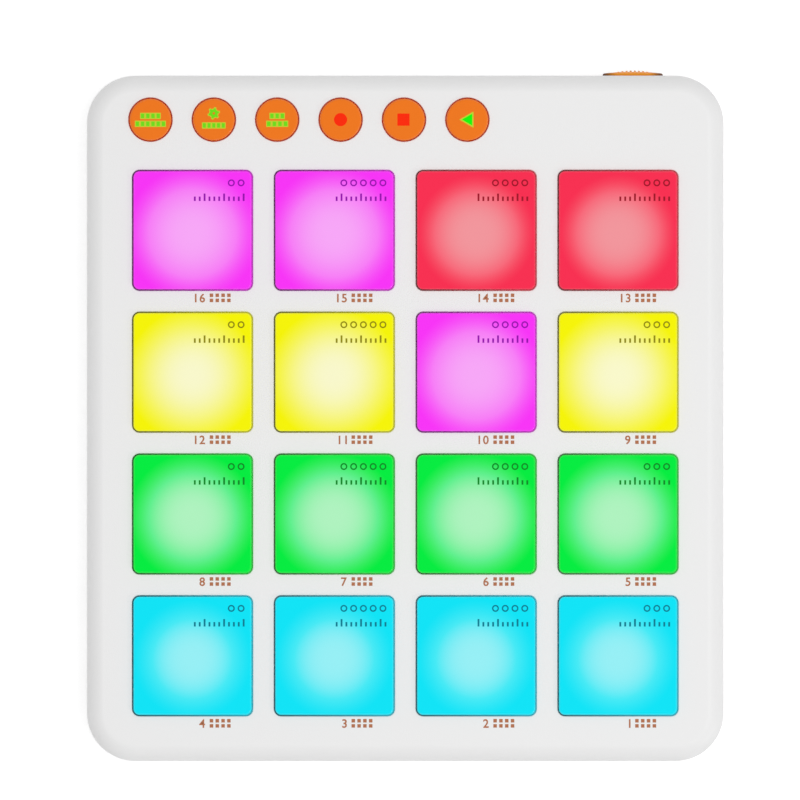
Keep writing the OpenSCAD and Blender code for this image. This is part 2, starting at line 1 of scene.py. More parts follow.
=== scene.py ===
import math
import bpy
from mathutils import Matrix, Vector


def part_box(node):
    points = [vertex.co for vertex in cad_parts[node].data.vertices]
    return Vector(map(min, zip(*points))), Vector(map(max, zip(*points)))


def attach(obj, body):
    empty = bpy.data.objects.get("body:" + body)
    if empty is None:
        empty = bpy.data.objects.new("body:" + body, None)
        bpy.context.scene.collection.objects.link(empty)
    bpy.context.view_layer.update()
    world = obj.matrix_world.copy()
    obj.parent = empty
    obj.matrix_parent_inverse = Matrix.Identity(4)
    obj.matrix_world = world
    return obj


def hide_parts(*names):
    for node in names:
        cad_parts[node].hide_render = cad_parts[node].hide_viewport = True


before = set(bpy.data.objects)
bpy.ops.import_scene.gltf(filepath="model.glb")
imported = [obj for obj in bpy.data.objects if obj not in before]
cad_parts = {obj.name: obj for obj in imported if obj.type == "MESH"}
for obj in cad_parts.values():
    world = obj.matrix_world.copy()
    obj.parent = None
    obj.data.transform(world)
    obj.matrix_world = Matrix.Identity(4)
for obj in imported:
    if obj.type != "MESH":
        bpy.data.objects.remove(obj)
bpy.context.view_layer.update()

# Lower shell
# A shallow tray of white ABS with a fine spark-eroded grain, moulded in one shot. Its posts take the case
# screws from below, fences hold the battery and pillars the board. The rear wall has the mouths of the USB
# socket, the power slider and the dial.
MM = 0.001
WALL = 2 * MM
CORNER_R = 10.4 * MM
UNDER_EDGE_R = 3 * MM
TONGUE_H = 1.2 * MM
TONGUE_SETBACK = 1.1 * MM
FIT = 0.1 * MM
tray_low, tray_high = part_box("bottom_case")
seam_z = tray_high[2]
case_z = tray_low[2]
floor_z = case_z + 2 * MM
half_w = tray_high[0]
half_d = tray_high[1]


def open_edit():
    bpy.ops.object.mode_set(mode="EDIT")


def close_edit():
    bpy.ops.object.mode_set(mode="OBJECT")


def deselect_all():
    if bpy.context.object and bpy.context.object.mode != "OBJECT":
        close_edit()
    bpy.ops.object.select_all(action="DESELECT")


def make_active(piece):
    deselect_all()
    piece.select_set(True)
    bpy.context.view_layer.objects.active = piece


def apply_place():
    """Takes a piece's place, turn and size into its mesh, so that its object sits at the origin."""
    bpy.ops.object.transform_apply(location=True, rotation=True, scale=True)


def block(name, low, high):
    """A box between two corners."""
    deselect_all()
    middle = [(a + b) / 2 for a, b in zip(low, high)]
    bpy.ops.mesh.primitive_cube_add(size=1, location=middle)
    piece = bpy.context.object
    piece.name = name
    piece.scale = [b - a for a, b in zip(low, high)]
    apply_place()
    return piece


def cylinder(name, middle, length, radius, sides, turn):
    deselect_all()
    bpy.ops.mesh.primitive_cylinder_add(
        vertices=sides, radius=radius, depth=length, location=middle, rotation=turn)
    piece = bpy.context.object
    piece.name = name
    apply_place()
    return piece


def upright(name, place, low_z, high_z, radius, sides, spin=0.0):
    """A cylinder that stands on a place, and may be spun round its axis."""
    return cylinder(
        name, (*place, (low_z + high_z) / 2), high_z - low_z, radius, sides, turn=(0, 0, spin))


def start_picking(piece, kind):
    """Sets what is to be picked on a piece, FACE or EDGE, with nothing picked yet."""
    make_active(piece)
    open_edit()
    bpy.ops.mesh.select_mode(type=kind)
    bpy.ops.mesh.select_all(action="DESELECT")
    close_edit()


def pick_faces(piece, wanted):
    """Opens a piece in edit mode with the faces selected that wanted(centre, normal) names."""
    start_picking(piece, "FACE")
    for face in piece.data.polygons:
        face.select = bool(wanted(face.center, face.normal))
    open_edit()


def pick_edges(piece, wanted):
    """Opens a piece in edit mode with the edges selected whose two ends wanted(a, b) names."""
    start_picking(piece, "EDGE")
    corners = piece.data.vertices
    for edge in piece.data.edges:
        a, b = (corners[index].co for index in edge.vertices)
        edge.select = bool(wanted(a, b))
    open_edit()


def near(a, b):
    return abs(a - b) < 0.002 * MM


def bevel_picked(radius, segments):
    bpy.ops.mesh.bevel(offset=radius, segments=segments, profile=0.5, affect="EDGES", clamp_overlap=False)
    close_edit()


def round_along(piece, axis, radius, segments):
    """Rounds the edges that run along Y or Z."""
    across = (0, 1) if axis == "Z" else (0, 2)
    pick_edges(piece, lambda a, b: all(near(a[side], b[side]) for side in across))
    bevel_picked(radius, segments)


def round_rim(piece, level, radius, segments, axis=2):
    """Rolls the edge all round a piece at one height, or at one level along another axis."""
    pick_edges(piece, lambda a, b: near(a[axis], level) and near(b[axis], level))
    bevel_picked(radius, segments)


def case_block(name, inset, low_z, high_z, segments=12):
    """A block with the outline of the case, set in by a distance all round."""
    piece = block(name, (inset - half_w, inset - half_d, low_z), (half_w - inset, half_d - inset, high_z))
    round_along(piece, "Z", CORNER_R - inset, segments)
    return piece


def square_block(name, place, half, low_z, high_z, corner_r=0.0):
    """A block on a square round a place, with rounded uprights if it has a corner radius."""
    x, y = place
    piece = block(name, (x - half, y - half, low_z), (x + half, y + half, high_z))
    if corner_r:
        round_along(piece, "Z", corner_r, 8)
    return piece


def flat_oval(name, low, high, segments):
    """A bar along Y with a section that is round at both ends."""
    piece = block(name, low, high)
    round_along(piece, "Y", (high[2] - low[2]) / 2 - 0.01 * MM, segments)
    return piece


def cut(piece, tool):
    """Cuts the tool out of the piece and throws the tool away."""
    combine(piece, tool, "DIFFERENCE")


def fuse(piece, other):
    combine(piece, other, "UNION")


def throw_away(piece):
    bpy.data.objects.remove(piece, do_unlink=True)


def combine(piece, other, operation):
    make_active(piece)
    modifier = piece.modifiers.new(operation.lower(), "BOOLEAN")
    modifier.object = other
    modifier.operation = operation
    modifier.solver = "EXACT"
    bpy.ops.object.modifier_apply(modifier=modifier.name)
    throw_away(other)


def join_pieces(name, pieces):
    deselect_all()
    for piece in pieces:
        piece.select_set(True)
    bpy.context.view_layer.objects.active = pieces[0]
    if len(pieces) > 1:
        bpy.ops.object.join()
    joined = bpy.context.object
    joined.name = name
    return joined


def copy_of(piece, name, shift):
    """A copy of a piece with its own mesh, moved in its mesh."""
    copy = piece.copy()
    copy.data = piece.data.copy()
    copy.name = name
    bpy.context.collection.objects.link(copy)
    make_active(copy)
    copy.location = shift
    apply_place()
    return copy


SMOOTH_BELOW = math.radians(32)


def finish_surface(piece):
    """Merges doubles, turns the faces outwards and shades the rolls smooth and the flats flat."""
    make_active(piece)
    open_edit()
    bpy.ops.mesh.select_all(action="SELECT")
    bpy.ops.mesh.remove_doubles(threshold=0.001 * MM)
    bpy.ops.mesh.normals_make_consistent(inside=False)
    close_edit()
    bpy.ops.object.shade_smooth_by_angle(angle=SMOOTH_BELOW)
    weighted = piece.modifiers.new("weighted", "WEIGHTED_NORMAL")
    weighted.keep_sharp = True
    weighted.weight = 100
    bpy.ops.object.modifier_apply(modifier=weighted.name)


# Where the pads and the case screws stand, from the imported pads
pad_1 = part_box("pad_1")
pitch = pad_1[0][0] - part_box("pad_2")[0][0]
grid_y = (pad_1[0][1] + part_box("pad_16")[1][1]) / 2
screw_places = [(x * 2 * pitch, grid_y + y * 2 * pitch) for x in (-1, 1) for y in (-1, 1)]

tray = case_block("lower_shell", 0, case_z, seam_z, segments=20)
round_rim(tray, case_z, UNDER_EDGE_R, segments=8)
hollow = case_block("hollow", WALL, floor_z, seam_z + WALL)
round_rim(hollow, floor_z, UNDER_EDGE_R - WALL / 2, segments=4)
cut(tray, hollow)
cut(tray, case_block("rebate", TONGUE_SETBACK - FIT, seam_z - TONGUE_H - FIT, seam_z + WALL))

POST_R = 3.2 * MM
COUNTERBORE_R = 2.25 * MM
SCREW_HOLE_R = 1.2 * MM
SCREW_SEAT = 5 * MM
for place in screw_places:
    fuse(tray, upright("post", place, floor_z - WALL / 2, seam_z, POST_R, 32))
    cut(tray, upright("counterbore", place, 0, seam_z - SCREW_SEAT, COUNTERBORE_R, 32))
    cut(tray, upright("screw_hole", place, 0, 2 * seam_z, SCREW_HOLE_R, 24))

FENCE_T = 1 * MM
FENCE_H = 3 * MM
FENCE_GAP = 0.5 * MM
cell_low, cell_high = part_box("battery")
cell_d = cell_high[1] - cell_low[1]


def round_the_cell(name, margin, low_z, high_z):
    """A block on the battery's outline, let out by a margin all round."""
    return block(name, (cell_low[0] - margin, cell_low[1] - margin, low_z),
                 (cell_high[0] + margin, cell_high[1] + margin, high_z))


fence = round_the_cell("fence", FENCE_GAP + FENCE_T, floor_z - WALL / 2, floor_z + FENCE_H)
cut(fence, round_the_cell("room_for_the_cell", FENCE_GAP, 0, seam_z))
cut(fence, block(
    "gap_for_fingers", (-half_w, grid_y - cell_d / 4, floor_z), (half_w, grid_y + cell_d / 4, seam_z)))
fuse(tray, fence)

REST_R = 2 * MM
board_low, board_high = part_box("main_board")


def middle_of(name):
    """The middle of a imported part, seen from above."""
    low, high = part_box(name)
    return ((low[0] + high[0]) / 2, (low[1] + high[1]) / 2)


# Four pillars stand under the front edge of the pads, inside their flanges, and three beside every other
# switch
SWITCH_HALF = 3 * MM
FLANGE_OUT = 0.9 * MM
pad_front_y = pad_1[0][1] + FLANGE_OUT
rest_places = [(middle_of(f"pad_{number}")[0], pad_front_y) for number in (1, 2, 3, 4)]
for name in ("repeat_button", "bank_button", "stop_button"):
    x, y = middle_of(name)
    rest_places.append((x, y - SWITCH_HALF))
for place in rest_places:
    fuse(tray, upright("rest", place, floor_z - WALL / 2, board_low[2], REST_R, 32))

FOOT_SUNK = 0.6 * MM
feet_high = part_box("rubber_feet")[1]
FOOT_R = 5 * MM
foot_places = [
    (x * (feet_high[0] - FOOT_R), y * (feet_high[1] - FOOT_R)) for x in (-1, 1) for y in (-1, 1)]
for place in foot_places:
    cut(tray, upright("foot_recess", place, 0, case_z + FOOT_SUNK, FOOT_R + FIT, 48))

DIAL_GAP = 0.5 * MM
dial_low, dial_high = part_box("dial_knob")
dial_x = (dial_low[0] + dial_high[0]) / 2
dial_r = (dial_high[0] - dial_low[0]) / 2
COLLAR_T = 1.4 * MM
COLLAR_LEN = 1.5 * MM
COLLAR_SUNK = 0.02 * MM


def dial_bar(name, inner_y, outer_y, radius, sides=96):
    """A cylinder on the dial's axis, from its end inside the case to its outer end."""
    return cylinder(name, (dial_x, (inner_y + outer_y) / 2, seam_z), outer_y - inner_y, radius, sides,
                    turn=(math.pi / 2, 0, 0))


def half_collar(side, sunk):
    """Half of the collar that stiffens the dial's mouth, sunk into the wall: above the seam if side is 1."""
    reach = dial_r + DIAL_GAP + COLLAR_T
    inner_y = half_d - WALL - COLLAR_LEN
    collar = dial_bar("collar", inner_y, half_d - WALL + sunk, reach)
    far_z = seam_z - side * 2 * reach
    cut(collar, block("other_half", (dial_x - 2 * reach, inner_y - MM, min(seam_z, far_z)),
                      (dial_x + 2 * reach, half_d, max(seam_z, far_z))))
    return collar


def dial_mouth():
    return dial_bar("dial_mouth", half_d - 2 * WALL, half_d + WALL, dial_r + DIAL_GAP)


fuse(tray, half_collar(-1, COLLAR_SUNK))
cut(tray, dial_mouth())

USB_GAP = 0.25 * MM
usb_low, usb_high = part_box("usb_socket")
cut(tray, flat_oval(
    "usb_mouth", (usb_low[0] - USB_GAP, half_d - 2 * WALL, usb_low[2] - USB_GAP),
    (usb_high[0] + USB_GAP, half_d + WALL, usb_high[2] + USB_GAP), segments=8))

SLOT_GAP = 0.3 * MM
SLOT_CORNER_R = 0.4 * MM
POWER_TRAVEL = 2 * MM
slider_low, slider_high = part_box("power_slider")
power_slot = block(
    "power_slot", (slider_low[0] - SLOT_GAP, half_d - 2 * WALL, slider_low[2] - SLOT_GAP),
    (slider_high[0] + POWER_TRAVEL + SLOT_GAP, half_d + WALL, slider_high[2] + SLOT_GAP))
round_along(power_slot, "Y", SLOT_CORNER_R, 3)
cut(tray, power_slot)
finish_surface(tray)


def feed(node, values):
    """Gives a node's inputs numbers and colours, or leads other nodes' outputs into them."""
    for name, value in values.items():
        if isinstance(value, bpy.types.NodeSocket):
            node.id_data.links.new(value, node.inputs[name])
        else:
            node.inputs[name].default_value = value


def add_node(tree, kind, values=None, **settings):
    """A new node with its settings, and with these values on its inputs."""
    node = tree.nodes.new(kind)
    for name, value in settings.items():
        setattr(node, name, value)
    feed(node, values or {})
    return node


def new_group(name, inputs, outputs):
    """A shader node group, from its inputs with their usual values: (group, what it is given, end node)."""
    group = bpy.data.node_groups.new(name, "ShaderNodeTree")
    for in_out, names in (("INPUT", inputs), ("OUTPUT", outputs)):
        for socket_name in names:
            kind = "NodeSocketColor" if socket_name == "Color" else "NodeSocketFloat"
            socket = group.interface.new_socket(socket_name, in_out=in_out, socket_type=kind)
            if in_out == "INPUT":
                socket.default_value = inputs[socket_name]
    return group, add_node(group, "NodeGroupInput").outputs, add_node(group, "NodeGroupOutput")


def use_group(tree, group, values):
    """Places a group in a tree with these values on its inputs: its output sockets."""
    return add_node(tree, "ShaderNodeGroup", values, node_tree=group).outputs


def new_material(name, roughness, metallic=0.0, specular=0.5):
    """A material with its Principled shader: (material, shader)."""
    material = bpy.data.materials.new(name)
    material.use_nodes = True
    shader = material.node_tree.nodes["Principled BSDF"]
    feed(shader, {"Roughness": roughness, "Metallic": metallic, "Specular IOR Level": specular})
    return material, shader


def finish_shader(shader, surface, height, distance):
    """Gives a shader a surface's colour and roughness, and a height as a bump of some distance."""
    bump = add_node(shader.id_data, "ShaderNodeBump", {"Distance": distance, "Height": height})
    feed(shader, {"Base Color": surface["Color"], "Roughness": surface["Roughness"],
                  "Normal": bump.outputs["Normal"]})


def math_node(tree, operation, *values):
    """A Math node on sockets or numbers: its output socket."""
    return add_node(tree, "ShaderNodeMath", dict(enumerate(values)), operation=operation).outputs[0]


def object_place(tree):
    return add_node(tree, "ShaderNodeTexCoord").outputs["Object"]


def noise_node(tree, place, scale, detail=2):
    """Noise at a place of the object: its output socket, from 0 to 1."""
    values = {"Vector": place, "Scale": scale, "Detail": detail}
    return add_node(tree, "ShaderNodeTexNoise", values).outputs["Fac"]


def tinted(tree, color, tone):
    """A colour times a tone: its output socket."""
    return add_node(tree, "ShaderNodeVectorMath", {0: color, "Scale": tone}, operation="SCALE").outputs[0]


def wander(tree, middle, spread, noise):
    """A value that a noise leads up and down round its middle: its output socket."""
    centred = math_node(tree, "SUBTRACT", noise, 0.5)
    return math_node(tree, "ADD", math_node(tree, "MULTIPLY", centred, spread), middle)


def grain_group():
    """Moulded grain: a tone that wanders slowly over the surface, and a fine height for the bump."""
    usual = {"Color": (0.8, 0.8, 0.8, 1), "Grain Scale": 4000, "Patch Scale": 40, "Tone Range": 0.04,
             "Roughness": 0.5, "Roughness Range": 0.08}
    group, given, out = new_group("moulded_grain", usual, ("Color", "Roughness", "Height"))
    place = object_place(group)
    fine = noise_node(group, place, given["Grain Scale"])
    broad = noise_node(group, place, given["Patch Scale"], detail=4)
    tone = wander(group, 1.0, given["Tone Range"], wander(group, broad, 0.5, fine))
    rough = wander(group, given["Roughness"], given["Roughness Range"], broad)
    feed(out, {
        "Color": tinted(group, given["Color"], tone), "Roughness": rough, "Height": fine})
    return group


grain = grain_group()


def add_grain(shader, color, roughness, grain_scale, bump, patch_scale, tone, spread=0.08, height=None):
    """Gives a shader a colour with slow patches, and a fine grain or another height."""
    surface = use_group(shader.id_data, grain, {
        "Color": color, "Grain Scale": grain_scale, "Patch Scale": patch_scale, "Tone Range": tone,
        "Roughness": roughness, "Roughness Range": spread})
    finish_shader(shader, surface, height or surface["Height"], bump)


def grained_material(name, color, roughness, grain_scale=5000, bump=0.02 * MM, patch_scale=40, tone=0.04,
                     specular=0.5):
    """A moulded, rubber or cast surface: one colour with slow patches and a fine grain."""
    material, shader = new_material(name, roughness, specular=specular)
    add_grain(shader, (*color, 1), roughness, grain_scale, bump, patch_scale, tone)
    return material, shader


def dress(piece, material, body, node=None):
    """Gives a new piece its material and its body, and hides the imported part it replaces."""
    piece.data.materials.clear()
    piece.data.materials.append(material)
    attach(piece, body)
    if node:
        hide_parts(node)


shell_white, _ = grained_material(
    "shell_white", (0.812, 0.81, 0.81), roughness=0.42, grain_scale=5200, patch_scale=30, tone=0.03)
dress(tray, shell_white, "case", "bottom_case")

# Rubber feet
# Four discs of black silicone rubber, punched from a moulded sheet and glued into shallow recesses under the
# case. Each has a rolled lower edge and two moulded rings round a shallow dish.
FOOT_EDGE_R = 0.4 * MM
foot = upright("foot_shape", (0, 0), 0, feet_high[2], FOOT_R, 64)
round_rim(foot, 0, FOOT_EDGE_R, segments=4)
for ring_width, rise in ((0.7, 0.0), (0.25, -0.2), (0.9, 0.0), (0.25, 0.15), (0.6, 0.0), (0.25, -0.2)):
    pick_faces(foot, lambda centre, normal: normal.z < -0.99 and abs(centre.x) + abs(centre.y) < 0.01 * MM)
    bpy.ops.mesh.inset(thickness=ring_width * MM, depth=rise * MM)
    close_edit()
finish_surface(foot)
foot_rubber, _ = grained_material(
    "foot_rubber", (0.03, 0.03, 0.032), roughness=0.75, grain_scale=3000, bump=0.03 * MM, patch_scale=200,
    tone=0.3)
feet = [copy_of(foot, f"rubber_foot_{i + 1}", (x, y, 0)) for i, (x, y) in enumerate(foot_places)]
throw_away(foot)
for placed in feet:
    dress(placed, foot_rubber, "case", "rubber_feet")

# Case screws
# Four zinc-plated pan-head screws, driven up through the posts of the lower shell into the bosses of the
# upper one. Each head is cold-formed with a tapered cross for the driver.
HEAD_R = 1.9 * MM
HEAD_H = 1.4 * MM
SCREW_R = 1 * MM
SCREW_LENGTH = 9 * MM
CROSS_W = 0.5 * MM
CROSS_L = 2.2 * MM
CROSS_DEPTH = 0.9 * MM
CROSS_TAPER = 0.55
HEAD_EDGE_R = 0.6 * MM
screw_seat_z = seam_z - SCREW_SEAT
screw_low_z = screw_seat_z - HEAD_H
screw = upright("case_screw", (0, 0), screw_low_z, screw_seat_z, HEAD_R, 40)
round_rim(screw, screw_low_z, HEAD_EDGE_R, segments=5)
fuse(screw, upright(
    "shank", (0, 0), screw_seat_z - HEAD_H / 2, screw_seat_z + SCREW_LENGTH, SCREW_R, 32))
for half_x, half_y in ((CROSS_L / 2, CROSS_W / 2), (CROSS_W / 2, CROSS_L / 2)):
    slot = block(
        "slot", (-half_x, -half_y, screw_low_z - HEAD_H), (half_x, half_y, screw_low_z + CROSS_DEPTH))
    pick_faces(slot, lambda centre, normal: normal.z > 0.9)
    bpy.ops.transform.resize(value=(CROSS_TAPER, CROSS_TAPER, 1), center_override=(0, 0, 0))
    close_edit()
    cut(screw, slot)
finish_surface(screw)


def brushed_group():
    """Drawn or plated metal: fine streaks along one axis, with a wandering roughness."""
    usual = {"Color": (0.6, 0.6, 0.6, 1), "Streak Scale": 3000, "Roughness": 0.3, "Tone Range": 0.2}
    group, given, out = new_group("drawn_metal", usual, ("Color", "Roughness", "Height"))
    place = object_place(group)
    stretch = add_node(group, "ShaderNodeMapping", {"Vector": place, "Scale": (1, 0.06, 1)})
    streaks = noise_node(group, stretch.outputs["Vector"], given["Streak Scale"], detail=3)
    blotches = noise_node(group, place, 300)
    tone = wander(group, 1.0, given["Tone Range"], streaks)
    worn = wander(group, given["Roughness"], 0.25, blotches)
    feed(out, {
        "Color": tinted(group, given["Color"], tone), "Roughness": worn, "Height": streaks})
    return group


drawn_metal = brushed_group()


def metal_material(name, color, roughness, streak_scale=3000, bump=0.01 * MM):
    material, shader = new_material(name, roughness, metallic=1.0)
    surface = use_group(shader.id_data, drawn_metal, {
        "Color": (*color, 1), "Streak Scale": streak_scale, "Roughness": roughness, "Tone Range": 0.25})
    finish_shader(shader, surface, surface["Height"], bump)
    return material


screw_steel = metal_material("screw_steel", (0.45, 0.45, 0.46), roughness=0.35)
for i, (x, y) in enumerate(screw_places):
    placed = copy_of(screw, f"case_screw_{i + 1}", (x, y, 0))
    dress(placed, screw_steel, "case", "case_screws")
throw_away(screw)

# Battery
# A flat lithium cell in a heat-sealed pouch of laminated aluminium, laid between low fences on the floor.
# The foil has shallow dents and a faint grain from rolling.


def paint_nodes(material, *names):
    """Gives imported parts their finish, and leaves their shape as it is."""
    for name in names:
        for slot_of_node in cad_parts[name].material_slots:
            slot_of_node.material = material


cell_foil = metal_material("cell_foil", (0.72, 0.73, 0.75), roughness=0.4, streak_scale=900, bump=0.15 * MM)
paint_nodes(cell_foil, "battery")

# Circuit boards
# A green glass-epoxy board that nearly fills the case, and a small one upright behind the dial. The solder
# mask shows the copper tracks under it as raised, lighter lines.


def board_material():
    material, shader = new_material("board_green", roughness=0.35)
    tree = material.node_tree
    tracks = add_node(tree, "ShaderNodeTexBrick", {
        "Vector": object_place(tree), "Scale": 420, "Mortar Size": 0.05, "Mortar Smooth": 0.2,
        "Color1": (0.008, 0.09, 0.045, 1), "Color2": (0.01, 0.105, 0.055, 1),
        "Mortar": (0.03, 0.19, 0.09, 1)}).outputs
    add_grain(shader, tracks["Color"], roughness=0.35, grain_scale=2500, bump=0.035 * MM, patch_scale=60,
              tone=0.2, spread=0.1, height=tracks["Fac"])
    return material


board_green = board_material()
paint_nodes(board_green, "main_board", "encoder_board")
board_screw_steel = metal_material("board_screw_steel", (0.45, 0.45, 0.46), roughness=0.35)
paint_nodes(board_screw_steel, "board_screws")

# Chips, lamps and switches
# Surface-mounted parts: black epoxy chips under the board, white-bodied lamps with clear lenses above it, and
# six tact switches with tan plungers under the buttons.
chip_black, _ = grained_material(
    "chip_black", (0.02, 0.02, 0.022), roughness=0.55, grain_scale=6000, tone=0.3)
paint_nodes(chip_black, "board_chips")
lamp_white, _ = grained_material(
    "lamp", (0.8, 0.8, 0.74), roughness=0.2, grain_scale=2500, bump=0.01 * MM, patch_scale=400, tone=0.08)
paint_nodes(lamp_white, "pad_lamps", "button_lamps")
switch_black, _ = grained_material("switch_black", (0.02, 0.02, 0.022), roughness=0.45, tone=0.3)
paint_nodes(switch_black, "switch_bodies")
plunger_tan, _ = grained_material(
    "plunger_tan", (0.5, 0.42, 0.3), roughness=0.4, bump=0.01 * MM, patch_scale=300)
button_names = ["repeat", "shift", "bank", "record", "stop", "play"]
paint_nodes(plunger_tan, *(f"{name}_plunger" for name in button_names))

# USB socket
# A seamless shell of nickel-plated steel, soldered to the board behind its mouth in the rear wall. A black
# tongue in its middle carries gold contacts above and below.
USB_SHELL_T = 0.3 * MM
USB_BACK_T = 1 * MM
TONGUE_HALF = (3.35 * MM, 0.35 * MM)
TONGUE_CORNER_R = 0.5 * MM
USB_TONGUE_L = 4.6 * MM
usb_x = (usb_low[0] + usb_high[0]) / 2
usb_z = (usb_low[2] + usb_high[2]) / 2
usb_shell = flat_oval("usb_shell", usb_low, usb_high, segments=10)
inner_low = (usb_low[0] + USB_SHELL_T, usb_low[1] + USB_BACK_T, usb_low[2] + USB_SHELL_T)
inner_high = (usb_high[0] - USB_SHELL_T, usb_high[1] + WALL, usb_high[2] - USB_SHELL_T)
cut(usb_shell, flat_oval("usb_hollow", inner_low, inner_high, segments=10))
finish_surface(usb_shell)
plated_metal = metal_material("plated_metal", (0.66, 0.66, 0.65), roughness=0.28)
dress(usb_shell, plated_metal, "case", "usb_socket")

usb_tongue = block(
    "usb_tongue", (usb_x - TONGUE_HALF[0], usb_low[1] + USB_BACK_T, usb_z - TONGUE_HALF[1]),
    (usb_x + TONGUE_HALF[0], usb_low[1] + USB_BACK_T + USB_TONGUE_L, usb_z + TONGUE_HALF[1]))
round_along(usb_tongue, "Z", TONGUE_CORNER_R, 4)
finish_surface(usb_tongue)
dress(usb_tongue, chip_black, "case", "usb_socket")

CONTACTS = 12
CONTACT_PITCH = 0.5 * MM
CONTACT_HALF_W = 0.13 * MM
CONTACT_T = 0.03 * MM
contact_inner_y = usb_low[1] + 2 * MM
contact_outer_y = usb_low[1] + 5.2 * MM
contacts = []
for i in range(CONTACTS):
    contact_x = usb_x + (i - (CONTACTS - 1) / 2) * CONTACT_PITCH
    for side in (-1, 1):
        face_z = usb_z + side * TONGUE_HALF[1]
        low_z, high_z = sorted((face_z, face_z + side * CONTACT_T))
        contacts.append(block(
            "contact", (contact_x - CONTACT_HALF_W, contact_inner_y, low_z),
            (contact_x + CONTACT_HALF_W, contact_outer_y, high_z)))
usb_contacts = join_pieces("usb_contacts", contacts)
contact_gold = metal_material("contact_gold", (0.85, 0.6, 0.22), roughness=0.25)
dress(usb_contacts, contact_gold, "case", "usb_socket")

# Power switch
# A slide switch with a formed steel cover on the underside of the board. Its charcoal slider fills a slot in
# the rear wall, and three grooves across it give the fingernail a grip.
GROOVE = 0.3 * MM
SLIDER_EDGE_R = 0.12 * MM
SLIDER_SUNK = 0.15 * MM
STEM_HALF = (0.9 * MM, 0.7 * MM)
paint_nodes(plated_metal, "power_switch")
slider_inner_y = half_d - WALL + SLIDER_SUNK
slider_mid = [(a + b) / 2 for a, b in zip(slider_low, slider_high)]
slider = block("power_slider_cap", (slider_low[0], slider_inner_y, slider_low[2]), slider_high)
round_rim(slider, slider_high[1], SLIDER_EDGE_R, segments=3, axis=1)
for i in (-1, 0, 1):
    groove_x = slider_mid[0] + 3 * i * GROOVE
    cut(slider, block(
        "groove", (groove_x - GROOVE / 2, slider_high[1] - GROOVE, slider_low[2] - MM),
        (groove_x + GROOVE / 2, slider_high[1] + GROOVE, slider_high[2] + MM)))
fuse(slider, block(
    "stem", (slider_mid[0] - STEM_HALF[0], slider_low[1], slider_mid[2] - STEM_HALF[1]),
    (slider_mid[0] + STEM_HALF[0], slider_inner_y + 2 * SLIDER_SUNK, slider_mid[2] + STEM_HALF[1])))
finish_surface(slider)
slider_grey, _ = grained_material("slider_grey", (0.04, 0.04, 0.045), roughness=0.5, tone=0.25)
dress(slider, slider_grey, "power_slide", "power_slider")

# Encoder
# The rotary encoder stands on its small board behind the dial, in a plated steel frame. Its turned steel
# shaft has a flat, which drives the dial's hub.
shaft_metal = metal_material("shaft_metal", (0.62, 0.62, 0.63), roughness=0.25)
paint_nodes(plated_metal, "encoder_body")
paint_nodes(shaft_metal, "encoder_shaft")

# Force sensor and web
# A dark printed film lies on the board under the pads' skirts, and a milky silicone web over it fills the
# gutters between them.
film_dark, _ = grained_material(
    "film", (0.06, 0.06, 0.07), roughness=0.3, grain_scale=1500, bump=0.01 * MM, patch_scale=120, tone=0.25)
paint_nodes(film_dark, "sensor_film")
web_milky, _ = grained_material(
    "silicone_clear", (0.7, 0.72, 0.72), roughness=0.55, grain_scale=2500, patch_scale=120)
paint_nodes(web_milky, "pad_web")

# Pads
# Sixteen squares of milky silicone, each moulded with a skirt and a stop flange and lit from below by its own
# lamp. The roof glows almost white over the lamp and takes the lamp's full colour towards its rim.
PAD_CORNER_R = 1.3 * MM
PAD_EDGE_R = 0.5 * MM
PAD_WALL = 2.4 * MM
PAD_ROOF = 2.4 * MM
FLANGE_T = 1.3 * MM
STOP_GAP = 0.15 * MM
PANEL_T = 2.2 * MM
top_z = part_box("top_case")[1][2]
panel_z = top_z - PANEL_T
pad_foot_z = pad_1[0][2]
pad_head_z = pad_1[1][2]
half_pad = (pad_1[1][0] - pad_1[0][0]) / 2 - FLANGE_OUT
flange_top_z = panel_z - STOP_GAP
pad_shape = square_block("pad_shape", (0, 0), half_pad, pad_foot_z, pad_head_z, PAD_CORNER_R)
round_rim(pad_shape, pad_head_z, PAD_EDGE_R, segments=6)
fuse(pad_shape, square_block(
    "flange", (0, 0), half_pad + FLANGE_OUT, flange_top_z - FLANGE_T, flange_top_z,
    PAD_CORNER_R + FLANGE_OUT))
cut(pad_shape, square_block(
    "skirt_hollow", (0, 0), half_pad - PAD_WALL, 0, pad_head_z - PAD_ROOF, PAD_CORNER_R))
finish_surface(pad_shape)


def object_axes(tree):
    """Where a point of the object is, as three sockets: X, Y and Z."""
    return add_node(tree, "ShaderNodeSeparateXYZ", {"Vector": object_place(tree)}).outputs


def map_range(tree, value, low, high, to_low=0.0, to_high=1.0, kind="LINEAR"):
    """Spreads the span from low to high over the span from to_low to to_high: its output socket."""
    values = {"Value": value, "From Min": low, "From Max": high, "To Min": to_low, "To Max": to_high}
    return add_node(tree, "ShaderNodeMapRange", values, interpolation_type=kind).outputs["Result"]


def mix_colors(tree, factor, first, second):
    """Goes from the first colour to the second as the factor goes from 0 to 1: its output socket."""
    values = {"Factor": factor, 6: first, 7: second}
    return add_node(tree, "ShaderNodeMix", values, data_type="RGBA").outputs[2]


def height_mask_group():
    """A mask that rises from 0 at one height of the object to 1 at another."""
    group, given, out = new_group("height_mask", {"Low": 0.0, "High": 1.0}, ["Mask"])
    low, high = given["Low"], given["High"]
    feed(out, {"Mask": map_range(group, object_axes(group)["Z"], low, high, kind="SMOOTHSTEP")})
    return group


height_mask = height_mask_group()


